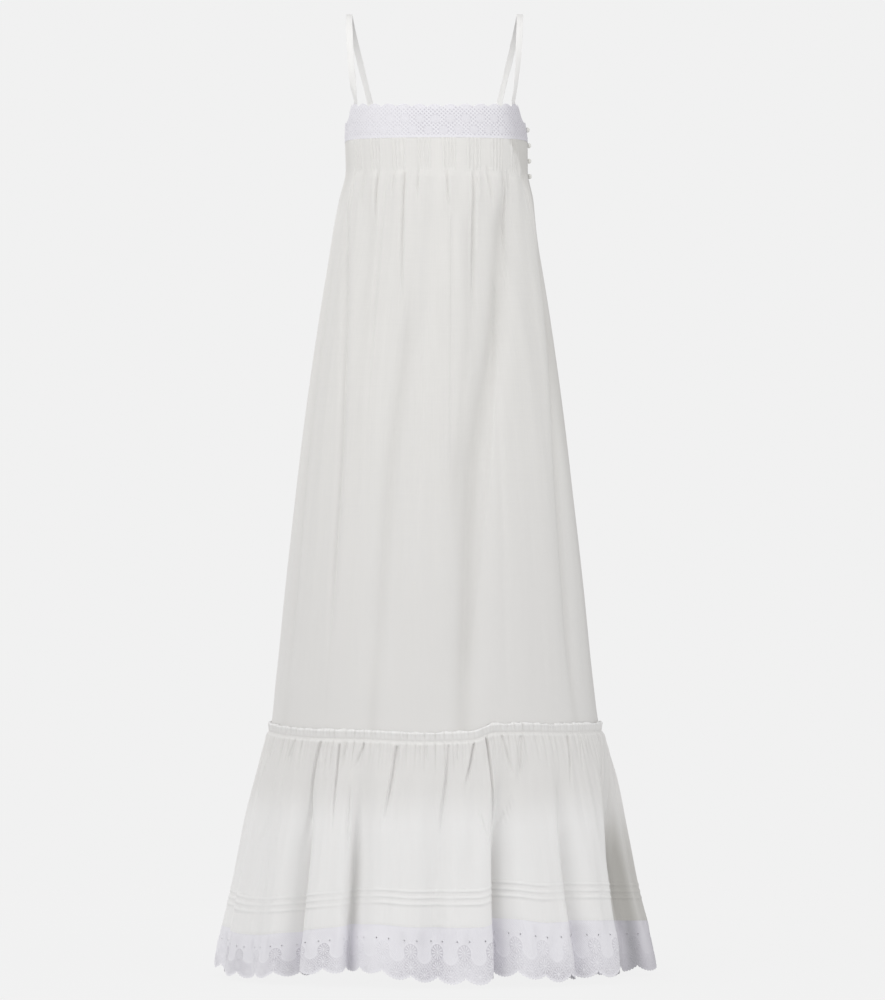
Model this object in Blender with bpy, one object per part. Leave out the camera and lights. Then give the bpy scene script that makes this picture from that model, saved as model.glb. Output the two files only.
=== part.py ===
"""Strappy maxi dress, standing open in its worn shape. Metres, +Z up, front towards -Y.

The origin is midway between the shoulders, under the straps, where the wearer holds the dress up.
Heights are negative and run down from there. A bearing is measured round the body: 0 is the centre
front, 90 is the wearer's left side (+X), 180 the centre back and -90 the wearer's right side.
"""

import math
from collections import namedtuple

import bmesh
import bpy
import numpy as np

# Thicknesses and seams
CLOTH = 0.0012
LACE = 0.0016
SEAM_GAP = 0.0003

# Neck band of lace: its edges at each bearing, the same on both sides
BandEdge = namedtuple("BandEdge", "bearing top foot")
BAND_EDGES = (
    BandEdge(0, -0.1400, -0.1905),
    BandEdge(35, -0.1385, -0.1905),
    BandEdge(64, -0.1365, -0.1905),
    BandEdge(82, -0.1625, -0.1920),
    BandEdge(95, -0.1620, -0.1930),
    BandEdge(125, -0.1580, -0.1980),
    BandEdge(180, -0.1560, -0.2000),
)
FRONT_CORNER = 64.0
BACK_CORNER = 118.0
FRONT_SCALLOPS = 13
BACK_SCALLOPS = 12
NECK_SCALLOP_DEPTH = 0.0040
NECK_SCALLOP_POINTS = 6
ARMHOLE_POINTS = 5
BAND_FOOT_POINTS = 49
SCALLOP_ROUNDNESS = 0.8

# Vertical pin tucks under the band, in groups
TUCK_GROUPS = 8
TUCKS_IN_GROUP = 4
TUCK_PITCH = 2.35
TUCK_SPAN = 62.0
TUCK_HEIGHT = 0.0013
TUCK_END = -0.236
RELEASE_END = -0.335
RELEASE_HEIGHT = 0.0034
TUCK_ENDING = 0.0120
RELEASE_SWELL = 0.0140

# Gathered tier: distances down from its stitch line
STITCH_LINE = -1.0760
HEADING = 0.0120
HEADING_FLARE = 0.0050
SKIRT_LAP = 0.0010
LACE_SEAM = 0.2740
HEM = 0.3510
GATHERS = 56
GATHER_HEIGHT = 0.0026
GATHER_OPEN = 0.0140
GATHER_HOLD = 0.0300
GATHER_FADE = 0.1150
FLUTE_START = 0.0100
FLUTE_FULL = 0.2000
HEM_TUCKS = (0.2200, 0.2315, 0.2430)
HEM_TUCK_STEP = 0.0008
HEM_TUCK_HEIGHT = 0.0015
HEM_SCALLOPS = 27
HEM_SCALLOP_DEPTH = 0.0085
HEM_SCALLOP_POINTS = 6
EYELET_TOP = 0.2900
EYELET_FOOT = 0.2965
EYELET_PLACES = (0.16, 0.30, 0.70, 0.84)

# Straps and buttons
STRAP_WIDTH = 0.0095
STRAP_THICKNESS = 0.0015
STRAP_TUCKED_IN = 0.0140
STRAP_SECTIONS = 26
STRAP_BEARING = 61.0
STRAP_BACK_BEARING = 139.0
STRAP_CLEARANCE = 0.0002
STRAP_CLEAR_OF_EDGE = 0.0040
STRAP_PULLS = (
    ((0.1245, -0.066, -0.0980), (0.1265, -0.062, -0.0520), (0.1276, -0.040, STRAP_THICKNESS / 2)),
    ((0.1280, 0.004, STRAP_THICKNESS / 2),),
    ((0.1284, 0.048, STRAP_THICKNESS / 2), (0.1200, 0.092, -0.0420), (0.1020, 0.104, -0.1050)),
)
STRAP_TOP_WIDTH_WAY = (1.0, 0.06, 0.0)
STRAP_LEAVES_FRONT = (0.05, 0.42)
STRAP_JOINS_BACK = (0.58, 0.95)
BUTTON_RADIUS = 0.0038
BUTTON_DOME = 0.0052
BUTTON_RIM = 0.0006
BUTTON_BACK = 0.0033
BUTTON_TURNS = (0.0, 27.0, 54.0, 76.0)
BUTTON_BEARING = 94.0
BUTTON_TOP = -0.1725
BUTTON_PITCH = 0.0232
BUTTONS = 4
BUTTON_SIDES = 12
BUTTON_STANDOFF = 0.0005

# Plan outline of the worn form at each height; sway is how far it hangs to the wearer's left
Section = namedtuple("Section", "height half_width front back squareness sway")
FORM = (
    Section(-1.4500, 0.3330, 0.2700, 0.2700, 2.00, 0.0015),
    Section(-1.4025, 0.3270, 0.2620, 0.2610, 2.00, 0.0015),
    Section(-1.3125, 0.3060, 0.2450, 0.2420, 2.00, 0.0000),
    Section(-1.2225, 0.2875, 0.2290, 0.2250, 2.00, 0.0000),
    Section(-1.1325, 0.2660, 0.2110, 0.2060, 2.00, 0.0015),
    Section(-1.0900, 0.2530, 0.2000, 0.1950, 2.02, 0.0015),
    Section(-1.0740, 0.2475, 0.1955, 0.1905, 2.03, 0.0010),
    Section(-0.9975, 0.2380, 0.1880, 0.1820, 2.05, 0.0000),
    Section(-0.8625, 0.2243, 0.1770, 0.1700, 2.08, 0.0000),
    Section(-0.7275, 0.2093, 0.1660, 0.1570, 2.10, 0.0000),
    Section(-0.5925, 0.1932, 0.1550, 0.1430, 2.12, 0.0000),
    Section(-0.4125, 0.1680, 0.1410, 0.1220, 2.15, 0.0008),
    Section(-0.3225, 0.1535, 0.1340, 0.1120, 2.20, 0.0020),
    Section(-0.2775, 0.1455, 0.1290, 0.1070, 2.25, 0.0028),
    Section(-0.2325, 0.1365, 0.1220, 0.1035, 2.32, 0.0034),
    Section(-0.1920, 0.1368, 0.1140, 0.1010, 2.40, 0.0026),
    Section(-0.1600, 0.1345, 0.1060, 0.0980, 2.45, 0.0010),
    Section(-0.1300, 0.1300, 0.0980, 0.0930, 2.50, 0.0000),
)

# Soft folds of the skirt: bearings of the trough at four heights, and where it begins and ends
Fold = namedtuple("Fold", "top upper lower low start end depth width")
FOLD_HEIGHTS = (-0.25, -0.46, -0.70, -1.06)
FOLD_GROWTH = 0.10
FOLD_FADE = 0.16
SKIRT_FOLDS = (
    Fold(-72, -71, -70, -66, -0.30, -1.06, 0.006, 0.030),
    Fold(-57, -52, -47, -41, -0.26, -0.98, 0.004, 0.014),
    Fold(-38, -36, -33, -30, -0.25, -0.60, 0.005, 0.024),
    Fold(-15, -14, -20, -22, -0.25, -1.04, 0.007, 0.024),
    Fold(2, 2, 0, -5, -0.25, -0.46, 0.004, 0.020),
    Fold(20, 17, 8, 3, -0.25, -0.66, 0.006, 0.020),
    Fold(43, 35, 16, 11, -0.24, -1.09, 0.012, 0.024),
    Fold(64, 62, 58, 53, -0.27, -1.06, 0.008, 0.028),
    Fold(104, 106, 109, 112, -0.27, -1.09, 0.009, 0.028),
    Fold(131, 133, 135, 139, -0.25, -0.92, 0.008, 0.026),
    Fold(157, 158, 161, 166, -0.24, -1.09, 0.011, 0.028),
    Fold(-176, -177, -178, -174, -0.25, -0.74, 0.006, 0.022),
    Fold(-151, -151, -149, -146, -0.24, -1.09, 0.012, 0.028),
    Fold(-124, -123, -121, -118, -0.25, -0.96, 0.008, 0.026),
    Fold(-103, -104, -104, -101, -0.28, -1.09, 0.008, 0.030),
)

# Grooves between the flutes of the tier, at its stitch line and at its hem
Groove = namedtuple("Groove", "top hem depth width lean")
GROOVES = (
    Groove(-166, -163, 0.034, 0.017, 0.35),
    Groove(-144, -143, 0.025, 0.018, -0.30),
    Groove(-121, -122, 0.034, 0.018, 0.30),
    Groove(-99, -102, 0.024, 0.020, -0.25),
    Groove(-80, -78, 0.011, 0.024, 0.00),
    Groove(-61, -57, 0.009, 0.026, 0.00),
    Groove(-45, -42, 0.036, 0.017, 0.40),
    Groove(-23, -21, 0.033, 0.016, -0.40),
    Groove(4, -1, 0.014, 0.019, 0.00),
    Groove(23, 19, 0.038, 0.016, -0.45),
    Groove(45, 43, 0.031, 0.016, -0.40),
    Groove(74, 62, 0.050, 0.020, -0.45),
    Groove(99, 96, 0.026, 0.019, 0.30),
    Groove(119, 118, 0.033, 0.018, -0.30),
    Groove(139, 141, 0.024, 0.019, 0.25),
    Groove(161, 160, 0.036, 0.017, -0.35),
    Groove(180, 180, 0.018, 0.022, 0.00),
)
SIDE_SEAMS = (-90.0, 90.0)

# Where the walls take their rows and columns, as shares of a panel or distances down the tier
FOLD_SHARES = (0.0, 0.22, 0.5, 0.78)
FLUTE_SHARES = (0.0, 0.11, 0.24, 0.5, 0.76, 0.89)
TUCKED_ROWS = (0.0, 0.022, 0.047)
RELEASED_ROWS = (0.062, 0.085)
SKIRT_ROWS = (0.14, 0.20, 0.28, 0.37, 0.47, 0.58, 0.69, 0.79, 0.88, 0.94)
GATHERED_ROWS = (-HEADING, 0.0, GATHER_OPEN, 0.045)
EASED_ROWS = (0.045, 0.080)
HANGING_ROWS = (0.115, 0.165)
RELEASED_POINTS = 49
PLAIN_EDGE_POINTS = 4

# How far the stitch line and the hem hang below level, by bearing
Drop = namedtuple("Drop", "bearing stitch hem")
DROPS = (
    Drop(-180, 0.002, 0.000),
    Drop(-120, 0.000, 0.003),
    Drop(-90, -0.003, 0.002),
    Drop(-60, 0.001, 0.010),
    Drop(-42, 0.003, 0.002),
    Drop(-30, 0.003, -0.004),
    Drop(-18, 0.004, -0.007),
    Drop(-6, 0.006, 0.005),
    Drop(12, 0.004, 0.010),
    Drop(21, -0.007, 0.000),
    Drop(32, -0.007, 0.009),
    Drop(45, -0.005, 0.006),
    Drop(90, -0.003, 0.008),
    Drop(130, 0.001, 0.003),
    Drop(180, 0.002, 0.000),
)

# A small step in degrees and one in metres, for finding which way a face looks
TURN_STEP = 0.01
DOWN_STEP = 1e-4

Finish = namedtuple("Finish", "colour roughness")
COTTON = Finish((0.86, 0.84, 0.80), 0.85)
WHITE_LACE = Finish((0.86, 0.86, 0.90), 0.80)
COVERED = Finish((0.84, 0.83, 0.80), 0.70)


def clear_scene():
    """Removes every object, so that the model starts from nothing."""
    for found in list(bpy.data.objects):
        bpy.data.objects.remove(found)


def make_material(name, finish):
    """A Principled material of the finish's colour and roughness."""
    material = bpy.data.materials.new(name)
    material.use_nodes = True
    shader = material.node_tree.nodes["Principled BSDF"]
    shader.inputs["Base Color"].default_value = (*finish.colour, 1.0)
    shader.inputs["Roughness"].default_value = finish.roughness
    shader.inputs["Metallic"].default_value = 0.0
    return material


# ---------------------------------------------------------------- curves through short tables


def column(rows, name):
    """One named column of a table, as an array."""
    return np.array([getattr(row, name) for row in rows], float)


def smooth(places, knots, values):
    """A smooth curve through the knots that never overshoots them."""
    steps = np.diff(knots)
    rises = np.diff(values) / steps
    slopes = np.concatenate([rises[:1], np.zeros(len(knots) - 2), rises[-1:]])
    same_way = rises[:-1] * rises[1:] > 0
    before, after = rises[:-1][same_way], rises[1:][same_way]
    near, far = steps[:-1][same_way], steps[1:][same_way]
    mean = 3 * (near + far) / ((2 * far + near) / before + (far + 2 * near) / after)
    slopes[1:-1][same_way] = mean
    places = np.clip(places, knots[0], knots[-1])
    cell = np.clip(np.searchsorted(knots, places) - 1, 0, len(steps) - 1)
    width = steps[cell]
    t = (places - knots[cell]) / width
    return (
        (2 * t**3 - 3 * t**2 + 1) * values[cell]
        + (t**3 - 2 * t**2 + t) * width * slopes[cell]
        + (3 * t**2 - 2 * t**3) * values[cell + 1]
        + (t**3 - t**2) * width * slopes[cell + 1]
    )


def ramp(value, start, end):
    """0 before start and 1 after end, with a soft change between."""
    t = np.clip((value - start) / (end - start), 0, 1)
    return t * t * (3 - 2 * t)


def turned(bearing):
    """The bearing brought between -180 and 180 degrees."""
    return (bearing + 180.0) % 360.0 - 180.0


def band_edge(bearing, name):
    """Height of the neck band's top or foot edge."""
    knots = column(BAND_EDGES, "bearing")
    return smooth(np.abs(turned(bearing)), knots, column(BAND_EDGES, name))


def drop(bearing, name):
    """How far the stitch line or the hem hangs below level."""
    return smooth(turned(bearing), column(DROPS, "bearing"), column(DROPS, name))


# ---------------------------------------------------------------- the worn form and its folds


def ring(bearing, height):
    """Plan outline at a height: x, y, the outward direction and the outline's radius of travel."""
    heights = column(FORM, "height")
    half_width = smooth(height, heights, column(FORM, "half_width"))
    front = smooth(height, heights, column(FORM, "front"))
    back = smooth(height, heights, column(FORM, "back"))
    power = smooth(height, heights, column(FORM, "squareness"))
    angle = np.radians(bearing)
    side, ahead = np.sin(angle), np.cos(angle)
    depth = np.where(ahead > 0, front, back)
    swell = (np.abs(side) ** power + np.abs(ahead) ** power) ** (-1 / power)
    sway = smooth(height, heights, column(FORM, "sway"))
    x, y = sway + half_width * swell * side, -depth * swell * ahead
    out_x = np.sign(side) * np.abs(side * swell) ** (power - 1) / half_width
    out_y = -np.sign(ahead) * np.abs(ahead * swell) ** (power - 1) / depth
    length = np.hypot(out_x, out_y)
    travel = np.hypot(half_width * ahead, depth * side)
    return x, y, out_x / length, out_y / length, travel


def placed(bearing, height, out, along=0.0):
    """Points on the outline at that height, moved out from it and along it."""
    x, y, out_x, out_y, _ = ring(bearing, height)
    return np.stack([x + out_x * out - out_y * along, y + out_y * out + out_x * along, height], -1)


def form_surface(bearing, depth):
    """The smooth worn form itself, without folds, at a depth below the shoulders."""
    return placed(bearing, -depth, 0.0)


def fold_bearing(fold, height):
    """Bearing of a skirt fold's trough at a height."""
    bearings = np.array([fold.low, fold.lower, fold.upper, fold.top], float)
    return smooth(height, np.array(FOLD_HEIGHTS[::-1]), bearings)


def skirt_fold_depth(bearing, height):
    """How far in the skirt's soft folds draw the cloth."""
    travel = ring(bearing, height)[4]
    depth = np.zeros_like(bearing)
    for fold in SKIRT_FOLDS:
        away = np.radians(turned(bearing - fold_bearing(fold, height))) * travel
        begun = ramp(-height, -fold.start, -fold.start + FOLD_GROWTH)
        lasting = ramp(height, fold.end, fold.end + FOLD_FADE)
        depth += fold.depth * begun * lasting * np.exp(-((away / fold.width) ** 2))
    return depth


def skirt_height(bearing, down):
    """Height of a point that share of the way from the band's foot to the skirt's lower edge."""
    top = band_edge(bearing, "foot") - SEAM_GAP
    low = STITCH_LINE - drop(bearing, "stitch") - SKIRT_LAP
    return top + down * (low - top)


def skirt_surface(bearing, down):
    """The skirt's plain face."""
    height = skirt_height(bearing, down)
    return placed(bearing, height, -skirt_fold_depth(bearing, height))


def group_centres():
    """Bearings of the groups of pin tucks on the front."""
    edge = TUCK_SPAN * (1 - 1 / TUCK_GROUPS)
    return np.linspace(-edge, edge, TUCK_GROUPS)


def tuck_samples(middle):
    """Bearings of every tuck's crest and both its feet, round that middle bearing."""
    across = np.arange(-TUCKS_IN_GROUP, TUCKS_IN_GROUP + 1) * TUCK_PITCH / 2
    found = (group_centres()[:, None] + across[None, :]).ravel()
    return middle + found


def tuck_height(bearing, height):
    """Relief of the stitched tucks and of the puffs that they let out below."""
    behind = np.abs(turned(bearing)) > 90
    facing = np.where(behind, turned(bearing - 180.0), turned(bearing))
    nearest = group_centres()[np.abs(facing[..., None] - group_centres()).argmin(-1)]
    across = (facing - nearest) / TUCK_PITCH
    in_group = np.abs(across) <= TUCKS_IN_GROUP / 2 + 1e-6
    crest = 1 - 2 * np.abs((across + TUCKS_IN_GROUP / 2) % 1.0 - 0.5)
    ridge = TUCK_HEIGHT * in_group * crest * ramp(height, TUCK_END - TUCK_ENDING, TUCK_END)
    life = ramp(-height, -TUCK_END, -TUCK_END + RELEASE_SWELL) * ramp(height, RELEASE_END, TUCK_END)
    within = np.clip(np.abs(facing - nearest) / (TUCK_SPAN / TUCK_GROUPS), 0, 1)
    return ridge + RELEASE_HEIGHT * life * (0.5 + 0.5 * np.cos(math.pi * within))


def tucked_surface(bearing, down):
    """The skirt's face with its pin tucks."""
    height = skirt_height(bearing, down)
    out = tuck_height(bearing, height) - skirt_fold_depth(bearing, height)
    return placed(bearing, height, out)


# ---------------------------------------------------------------- the gathered tier


def groove_bearing(groove, fall):
    """Bearing of a groove that far below the stitch line."""
    return groove.top + turned(groove.hem - groove.top) * np.clip(fall / HEM, 0, 1)


def groove_depth(groove, fall):
    """Depth of a groove, from nothing at the seam to its whole depth at the hem."""
    return groove.depth * ramp(fall, FLUTE_START, FLUTE_FULL) * (0.62 + 0.38 * np.clip(fall / HEM, 0, 1))


def gather_height(bearing, fall):
    """Relief of the gathers: pinched at the stitch line, open in the heading and fading below it."""
    wave = 0.5 - 0.5 * np.cos(np.radians(bearing + 90.0) * 2 * GATHERS)
    opening = 0.30 + 0.70 * ramp(-fall, 0.0, HEADING) + 0.60 * ramp(fall, 0.0, GATHER_OPEN)
    return GATHER_HEIGHT * wave * opening * (1 - ramp(fall, GATHER_HOLD, GATHER_FADE))


def tier_surface(bearing, fall):
    """The tier's face, at distances below its stitch line; the heading stands above it."""
    share = np.clip(fall / HEM, 0, 1)
    hang = drop(bearing, "stitch") * (1 - share) + drop(bearing, "hem") * share
    height = STITCH_LINE - fall - hang
    travel = ring(bearing, height)[4]
    out = CLOTH + SEAM_GAP + gather_height(bearing, fall)
    out = out + HEADING_FLARE * ramp(-fall, 0.0, HEADING)
    out = out - skirt_fold_depth(bearing, height) * (1 - ramp(fall, FLUTE_START, FOLD_FADE))
    along = np.zeros_like(bearing)
    for groove in GROOVES:
        away = np.radians(turned(bearing - groove_bearing(groove, fall))) * travel
        dip = groove_depth(groove, fall) * np.exp(-((away / groove.width) ** 2))
        out = out - dip
        along = along + groove.lean * dip
    return placed(bearing, height, out, along)


def hem_tuck_relief(fall):
    """Height of the horizontal tucks: each swells down to its free edge and steps back."""
    relief = np.zeros_like(fall)
    pitch = HEM_TUCKS[1] - HEM_TUCKS[0]
    for edge in HEM_TUCKS:
        rise = np.clip((fall - edge + pitch) / (pitch - HEM_TUCK_STEP), 0, 1)
        relief = np.where((fall > edge - pitch) & (fall < edge - HEM_TUCK_STEP / 2), rise, relief)
    return relief * HEM_TUCK_HEIGHT


def tucked_tier_surface(bearing, fall):
    """The tier's face with its horizontal tucks raised along its own outward direction."""
    face = tier_surface(bearing, fall)
    return face + outward(tier_surface, bearing, fall) * hem_tuck_relief(fall)[..., None]


def columns(first, last, tops, shares):
    """Columns between two seams that keep to the troughs, close together where the cloth turns in."""
    troughs = np.sort(tops)
    troughs = np.concatenate([troughs - 360.0, troughs, troughs + 360.0])
    found = (troughs[:-1, None] + np.diff(troughs)[:, None] * np.array(shares)).ravel()
    return np.concatenate([[first], found[(found > first + 1.0) & (found < last - 1.0)], [last]])


def shifted(across, tops, drifts):
    """Columns moved aside with the troughs that they lie between; the side seams stay."""
    knots = np.concatenate([tops, SIDE_SEAMS])
    moves = np.concatenate([drifts, np.zeros(len(SIDE_SEAMS))])
    return across + np.interp(across, knots, moves, period=360.0)


def skirt_columns(across, down):
    """Bearings of the skirt's columns that share of the way down."""
    height = np.array([band_edge(0.0, "foot") * (1 - down) + (STITCH_LINE - SKIRT_LAP) * down])
    drifts = [float(fold_bearing(fold, height)[0]) - fold.top for fold in SKIRT_FOLDS]
    return shifted(across, column(SKIRT_FOLDS, "top"), np.array(drifts))


def tier_columns(across, fall):
    """Bearings of the tier's columns at a distance below the stitch line."""
    drifts = turned(column(GROOVES, "hem") - column(GROOVES, "top")) * np.clip(fall / HEM, 0, 1)
    return shifted(across, column(GROOVES, "top"), drifts)


def flute_columns(first, last):
    """Columns of the tier between two seams."""
    return columns(first, last, column(GROOVES, "top"), FLUTE_SHARES)


def cloth_bearings(first, last, fall, places):
    """Bearings of points at equal shares of the cloth's own length round the folds."""
    dense = np.linspace(first, last, 60 * HEM_SCALLOPS)
    points = tier_surface(dense, np.full_like(dense, fall))
    run = np.concatenate([[0], np.cumsum(np.linalg.norm(np.diff(points, axis=0), axis=1))])
    return np.interp(np.asarray(places) * run[-1], run, dense)


# ---------------------------------------------------------------- walls from rows of points


def outward(surface, across, down):
    """Unit directions that stand off a face, to its outer side."""
    right = surface(across + TURN_STEP, down) - surface(across - TURN_STEP, down)
    fall = surface(across, down + DOWN_STEP) - surface(across, down - DOWN_STEP)
    normal = np.cross(fall, right)
    return normal / np.linalg.norm(normal, axis=-1, keepdims=True)


def zipped(first, second):
    """Triangles between two runs of (place, index) pairs, walked side by side."""
    faces = []
    i = j = 0
    while i < len(first) - 1 or j < len(second) - 1:
        last_of_second = j == len(second) - 1
        if last_of_second or (i < len(first) - 1 and first[i + 1][0] <= second[j + 1][0]):
            faces.append((first[i][1], first[i + 1][1], second[j][1]))
            i += 1
        else:
            faces.append((first[i][1], second[j + 1][1], second[j][1]))
            j += 1
    return faces


def numbered(bm, rows):
    """Adds each row's points to the mesh, and returns the rows as (place, vertex) runs."""
    return [[(place, bm.verts.new(point)) for place, point in zip(places, points)] for places, points in rows]


def pierced(bm, outer_pair, inner_pair, open_cells):
    """A strip of the wall between rows with like places, with some cells left open right through."""
    (top, low), (top_in, low_in) = outer_pair, inner_pair
    for cell in range(len(top) - 1):
        out = [top[cell][1], top[cell + 1][1], low[cell + 1][1], low[cell][1]]
        within = [top_in[cell][1], top_in[cell + 1][1], low_in[cell + 1][1], low_in[cell][1]]
        if cell not in open_cells:
            bm.faces.new(out)
            bm.faces.new(within[::-1])
            continue
        for side in range(4):
            after = (side + 1) % 4
            bm.faces.new((out[side], out[after], within[after], within[side]))


def wall(name, material, outer_rows, inner_rows, pierced_strip=None, open_cells=()):
    """A closed cloth wall from rows of (depth, places, points), outside and inside."""
    bm = bmesh.new()
    outer = numbered(bm, [row[1:] for row in outer_rows])
    inner = numbered(bm, [row[1:] for row in inner_rows])
    for rows in (outer, inner):
        for strip, (above, below) in enumerate(zip(rows, rows[1:])):
            if strip != pierced_strip:
                for face in zipped(above, below):
                    bm.faces.new(face)
    if pierced_strip is not None:
        here = slice(pierced_strip, pierced_strip + 2)
        pierced(bm, outer[here], inner[here], open_cells)
    for face in zipped(outer[0], inner[0]) + zipped(outer[-1], inner[-1]):
        bm.faces.new(face)
    for end in (0, -1):
        outside = [(row[0], run[end][1]) for row, run in zip(outer_rows, outer)]
        inside = [(row[0], run[end][1]) for row, run in zip(inner_rows, inner)]
        for face in zipped(outside, inside):
            bm.faces.new(face)
    return finished(name, material, bm)


def finished(name, material, bm):
    """Turns a bmesh into a named object with its faces pointing out."""
    bmesh.ops.recalc_face_normals(bm, faces=bm.faces)
    mesh = bpy.data.meshes.new(name)
    bm.to_mesh(mesh)
    bm.free()
    mesh.materials.append(material)
    made = bpy.data.objects.new(name, mesh)
    bpy.context.scene.collection.objects.link(made)
    return made


def face_row(surface, across, down, depth, inset=0.0):
    """A row of points at given places on a face, or on the face an inset inside it."""
    points = surface(across, down)
    if inset:
        points = points - outward(surface, across, down) * inset
    return depth, list(across), [tuple(point) for point in points]


def row_of(surface, across, depth, inset=0.0, spread=None):
    """A row at one depth, on columns that a rule may spread; a column keeps its place in the row."""
    bearing = across if spread is None else spread(across, depth)
    _, _, points = face_row(surface, bearing, np.full_like(bearing, depth), depth, inset)
    return depth, list(across), points


def scallop_dip(phases):
    """How far the edge is drawn up at a place: nothing on a scallop's middle and 1 between two."""
    return 1 - np.abs(np.sin(math.pi * phases)) ** SCALLOP_ROUNDNESS


def half_span(middle, height):
    """First and last bearing of a front or back panel, which stops short of the side seams."""
    travel = float(ring(np.array([90.0]), np.array([height]))[4][0])
    short = math.degrees(SEAM_GAP / 2 / travel)
    return middle - 90.0 + short, middle + 90.0 - short


# ---------------------------------------------------------------- the pieces


def make_skirt(name, middle, material):
    """One long body panel: pin tucks at its top, soft folds below, lower edge inside the tier."""
    first, last = half_span(middle, TUCK_END)
    tucks = tuck_samples(middle)
    plain = TUCK_SPAN + TUCKS_IN_GROUP
    before = np.linspace(first, middle - plain, PLAIN_EDGE_POINTS)
    after = np.linspace(middle + plain, last, PLAIN_EDGE_POINTS)
    stitched = np.concatenate([before, tucks, after])
    released = np.linspace(first, last, RELEASED_POINTS)
    folded = columns(first, last, column(SKIRT_FOLDS, "top"), FOLD_SHARES)
    dense = np.linspace(first, last, 20 * GATHERS)
    gathered = np.interp(np.linspace(first, last, GATHERS + 1), skirt_columns(dense, 1.0), dense)
    length = band_edge(0.0, "foot") - STITCH_LINE + SKIRT_LAP
    joined_rows = (1 - (HEADING + SKIRT_LAP) / length, 1.0)
    outer = [row_of(tucked_surface, stitched, down) for down in TUCKED_ROWS]
    outer += [row_of(tucked_surface, released, down) for down in RELEASED_ROWS]
    outer += [row_of(tucked_surface, folded, down, 0.0, skirt_columns) for down in SKIRT_ROWS]
    inner = [row_of(skirt_surface, folded, down, CLOTH) for down in (TUCKED_ROWS[0], *RELEASED_ROWS)]
    inner += [row_of(skirt_surface, folded, down, CLOTH, skirt_columns) for down in SKIRT_ROWS]
    for rows, inset in ((outer, 0.0), (inner, CLOTH)):
        rows += [row_of(skirt_surface, gathered, down, inset, skirt_columns) for down in joined_rows]
    return wall(name, material, outer, inner)


def make_tier(name, middle, material):
    """One half of the gathered tier, with its heading above the seam and its three low tucks."""
    first, last = half_span(middle, STITCH_LINE)
    gathered = np.linspace(first, last, 2 * GATHERS + 1)
    easing = gathered[::2]
    fluted = flute_columns(first, last)
    above_tucks = HEM_TUCKS[0] - (HEM_TUCKS[1] - HEM_TUCKS[0])
    stepped = [level for edge in HEM_TUCKS for level in (edge - HEM_TUCK_STEP, edge)]
    outer = [row_of(tier_surface, gathered, fall) for fall in GATHERED_ROWS]
    outer += [row_of(tier_surface, easing, EASED_ROWS[-1], 0.0, tier_columns)]
    inner = [row_of(tier_surface, easing, fall, CLOTH) for fall in GATHERED_ROWS[:2]]
    inner += [row_of(tier_surface, easing, fall, CLOTH, tier_columns) for fall in EASED_ROWS]
    for fall in (*HANGING_ROWS, above_tucks, *stepped, LACE_SEAM):
        outer.append(row_of(tucked_tier_surface, fluted, fall, 0.0, tier_columns))
    for fall in (*HANGING_ROWS, above_tucks, HEM_TUCKS[-1], LACE_SEAM):
        inner.append(row_of(tier_surface, fluted, fall, CLOTH, tier_columns))
    return wall(name, material, outer, inner)


def make_hem_lace(name, middle, material):
    """One half of the hem's lace: round scallops below, and a pair of eyelets over each."""
    first, last = half_span(middle, STITCH_LINE)
    start = LACE_SEAM + SEAM_GAP
    beside = (np.arange(HEM_SCALLOPS)[:, None] + np.array(EYELET_PLACES)).ravel() / HEM_SCALLOPS
    beside = np.concatenate([[0.0], beside, [1.0]])
    edge = np.linspace(0, 1, HEM_SCALLOPS * HEM_SCALLOP_POINTS + 1)
    top_row = tier_columns(flute_columns(first, last), LACE_SEAM)
    eyelet_row = cloth_bearings(first, last, EYELET_TOP, beside)
    edge_row = cloth_bearings(first, last, HEM, edge)
    edge_fall = HEM - HEM_SCALLOP_DEPTH * scallop_dip(edge * HEM_SCALLOPS)
    faces = []
    for inset in (0.0, LACE):
        rows = [row_of(tier_surface, top_row, start, inset)]
        rows += [row_of(tier_surface, eyelet_row, fall, inset) for fall in (EYELET_TOP, EYELET_FOOT)]
        rows.append(face_row(tier_surface, edge_row, edge_fall, HEM, inset))
        faces.append(rows)
    open_cells = [1 + 2 * eyelet for eyelet in range(2 * HEM_SCALLOPS)]
    return wall(name, material, *faces, pierced_strip=1, open_cells=open_cells)


def band_surface(bearing, down):
    """The neck band's face, from its top edge line to its foot."""
    top, foot = band_edge(bearing, "top"), band_edge(bearing, "foot")
    return placed(bearing, top + down * (foot - top), 0.0)


def make_neck_lace(name, middle, corner, scallops, material):
    """One half of the neck band, with scallops between the straps and plain armhole edges."""
    first, last = half_span(middle, TUCK_END)
    phases = np.linspace(0, scallops, scallops * NECK_SCALLOP_POINTS + 1)
    scalloped = middle - corner + 2 * corner * phases / scallops
    before = np.linspace(first, middle - corner, ARMHOLE_POINTS, endpoint=False)
    after = np.linspace(last, middle + corner, ARMHOLE_POINTS, endpoint=False)[::-1]
    across = np.concatenate([before, scalloped, after])
    plain = np.zeros(ARMHOLE_POINTS)
    sunk = NECK_SCALLOP_DEPTH * np.concatenate([plain, scallop_dip(phases), plain])
    down = sunk / (band_edge(across, "top") - band_edge(across, "foot"))
    foot = np.linspace(first, last, BAND_FOOT_POINTS)
    faces = []
    for inset in (0.0, LACE):
        rows = [face_row(band_surface, across, down, 0.0, inset)]
        rows += [row_of(band_surface, foot, depth, inset) for depth in (0.5, 1.0)]
        faces.append(rows)
    return wall(name, material, *faces)


def bezier(points, shares):
    """Points along a Bezier curve through its control points, by repeated halving of the spans."""
    levels = np.repeat(np.array(points, float)[None], len(shares), axis=0)
    while levels.shape[1] > 1:
        levels = levels[:, :-1] + shares[:, None, None] * (levels[:, 1:] - levels[:, :-1])
    return levels[:, 0]


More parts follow.
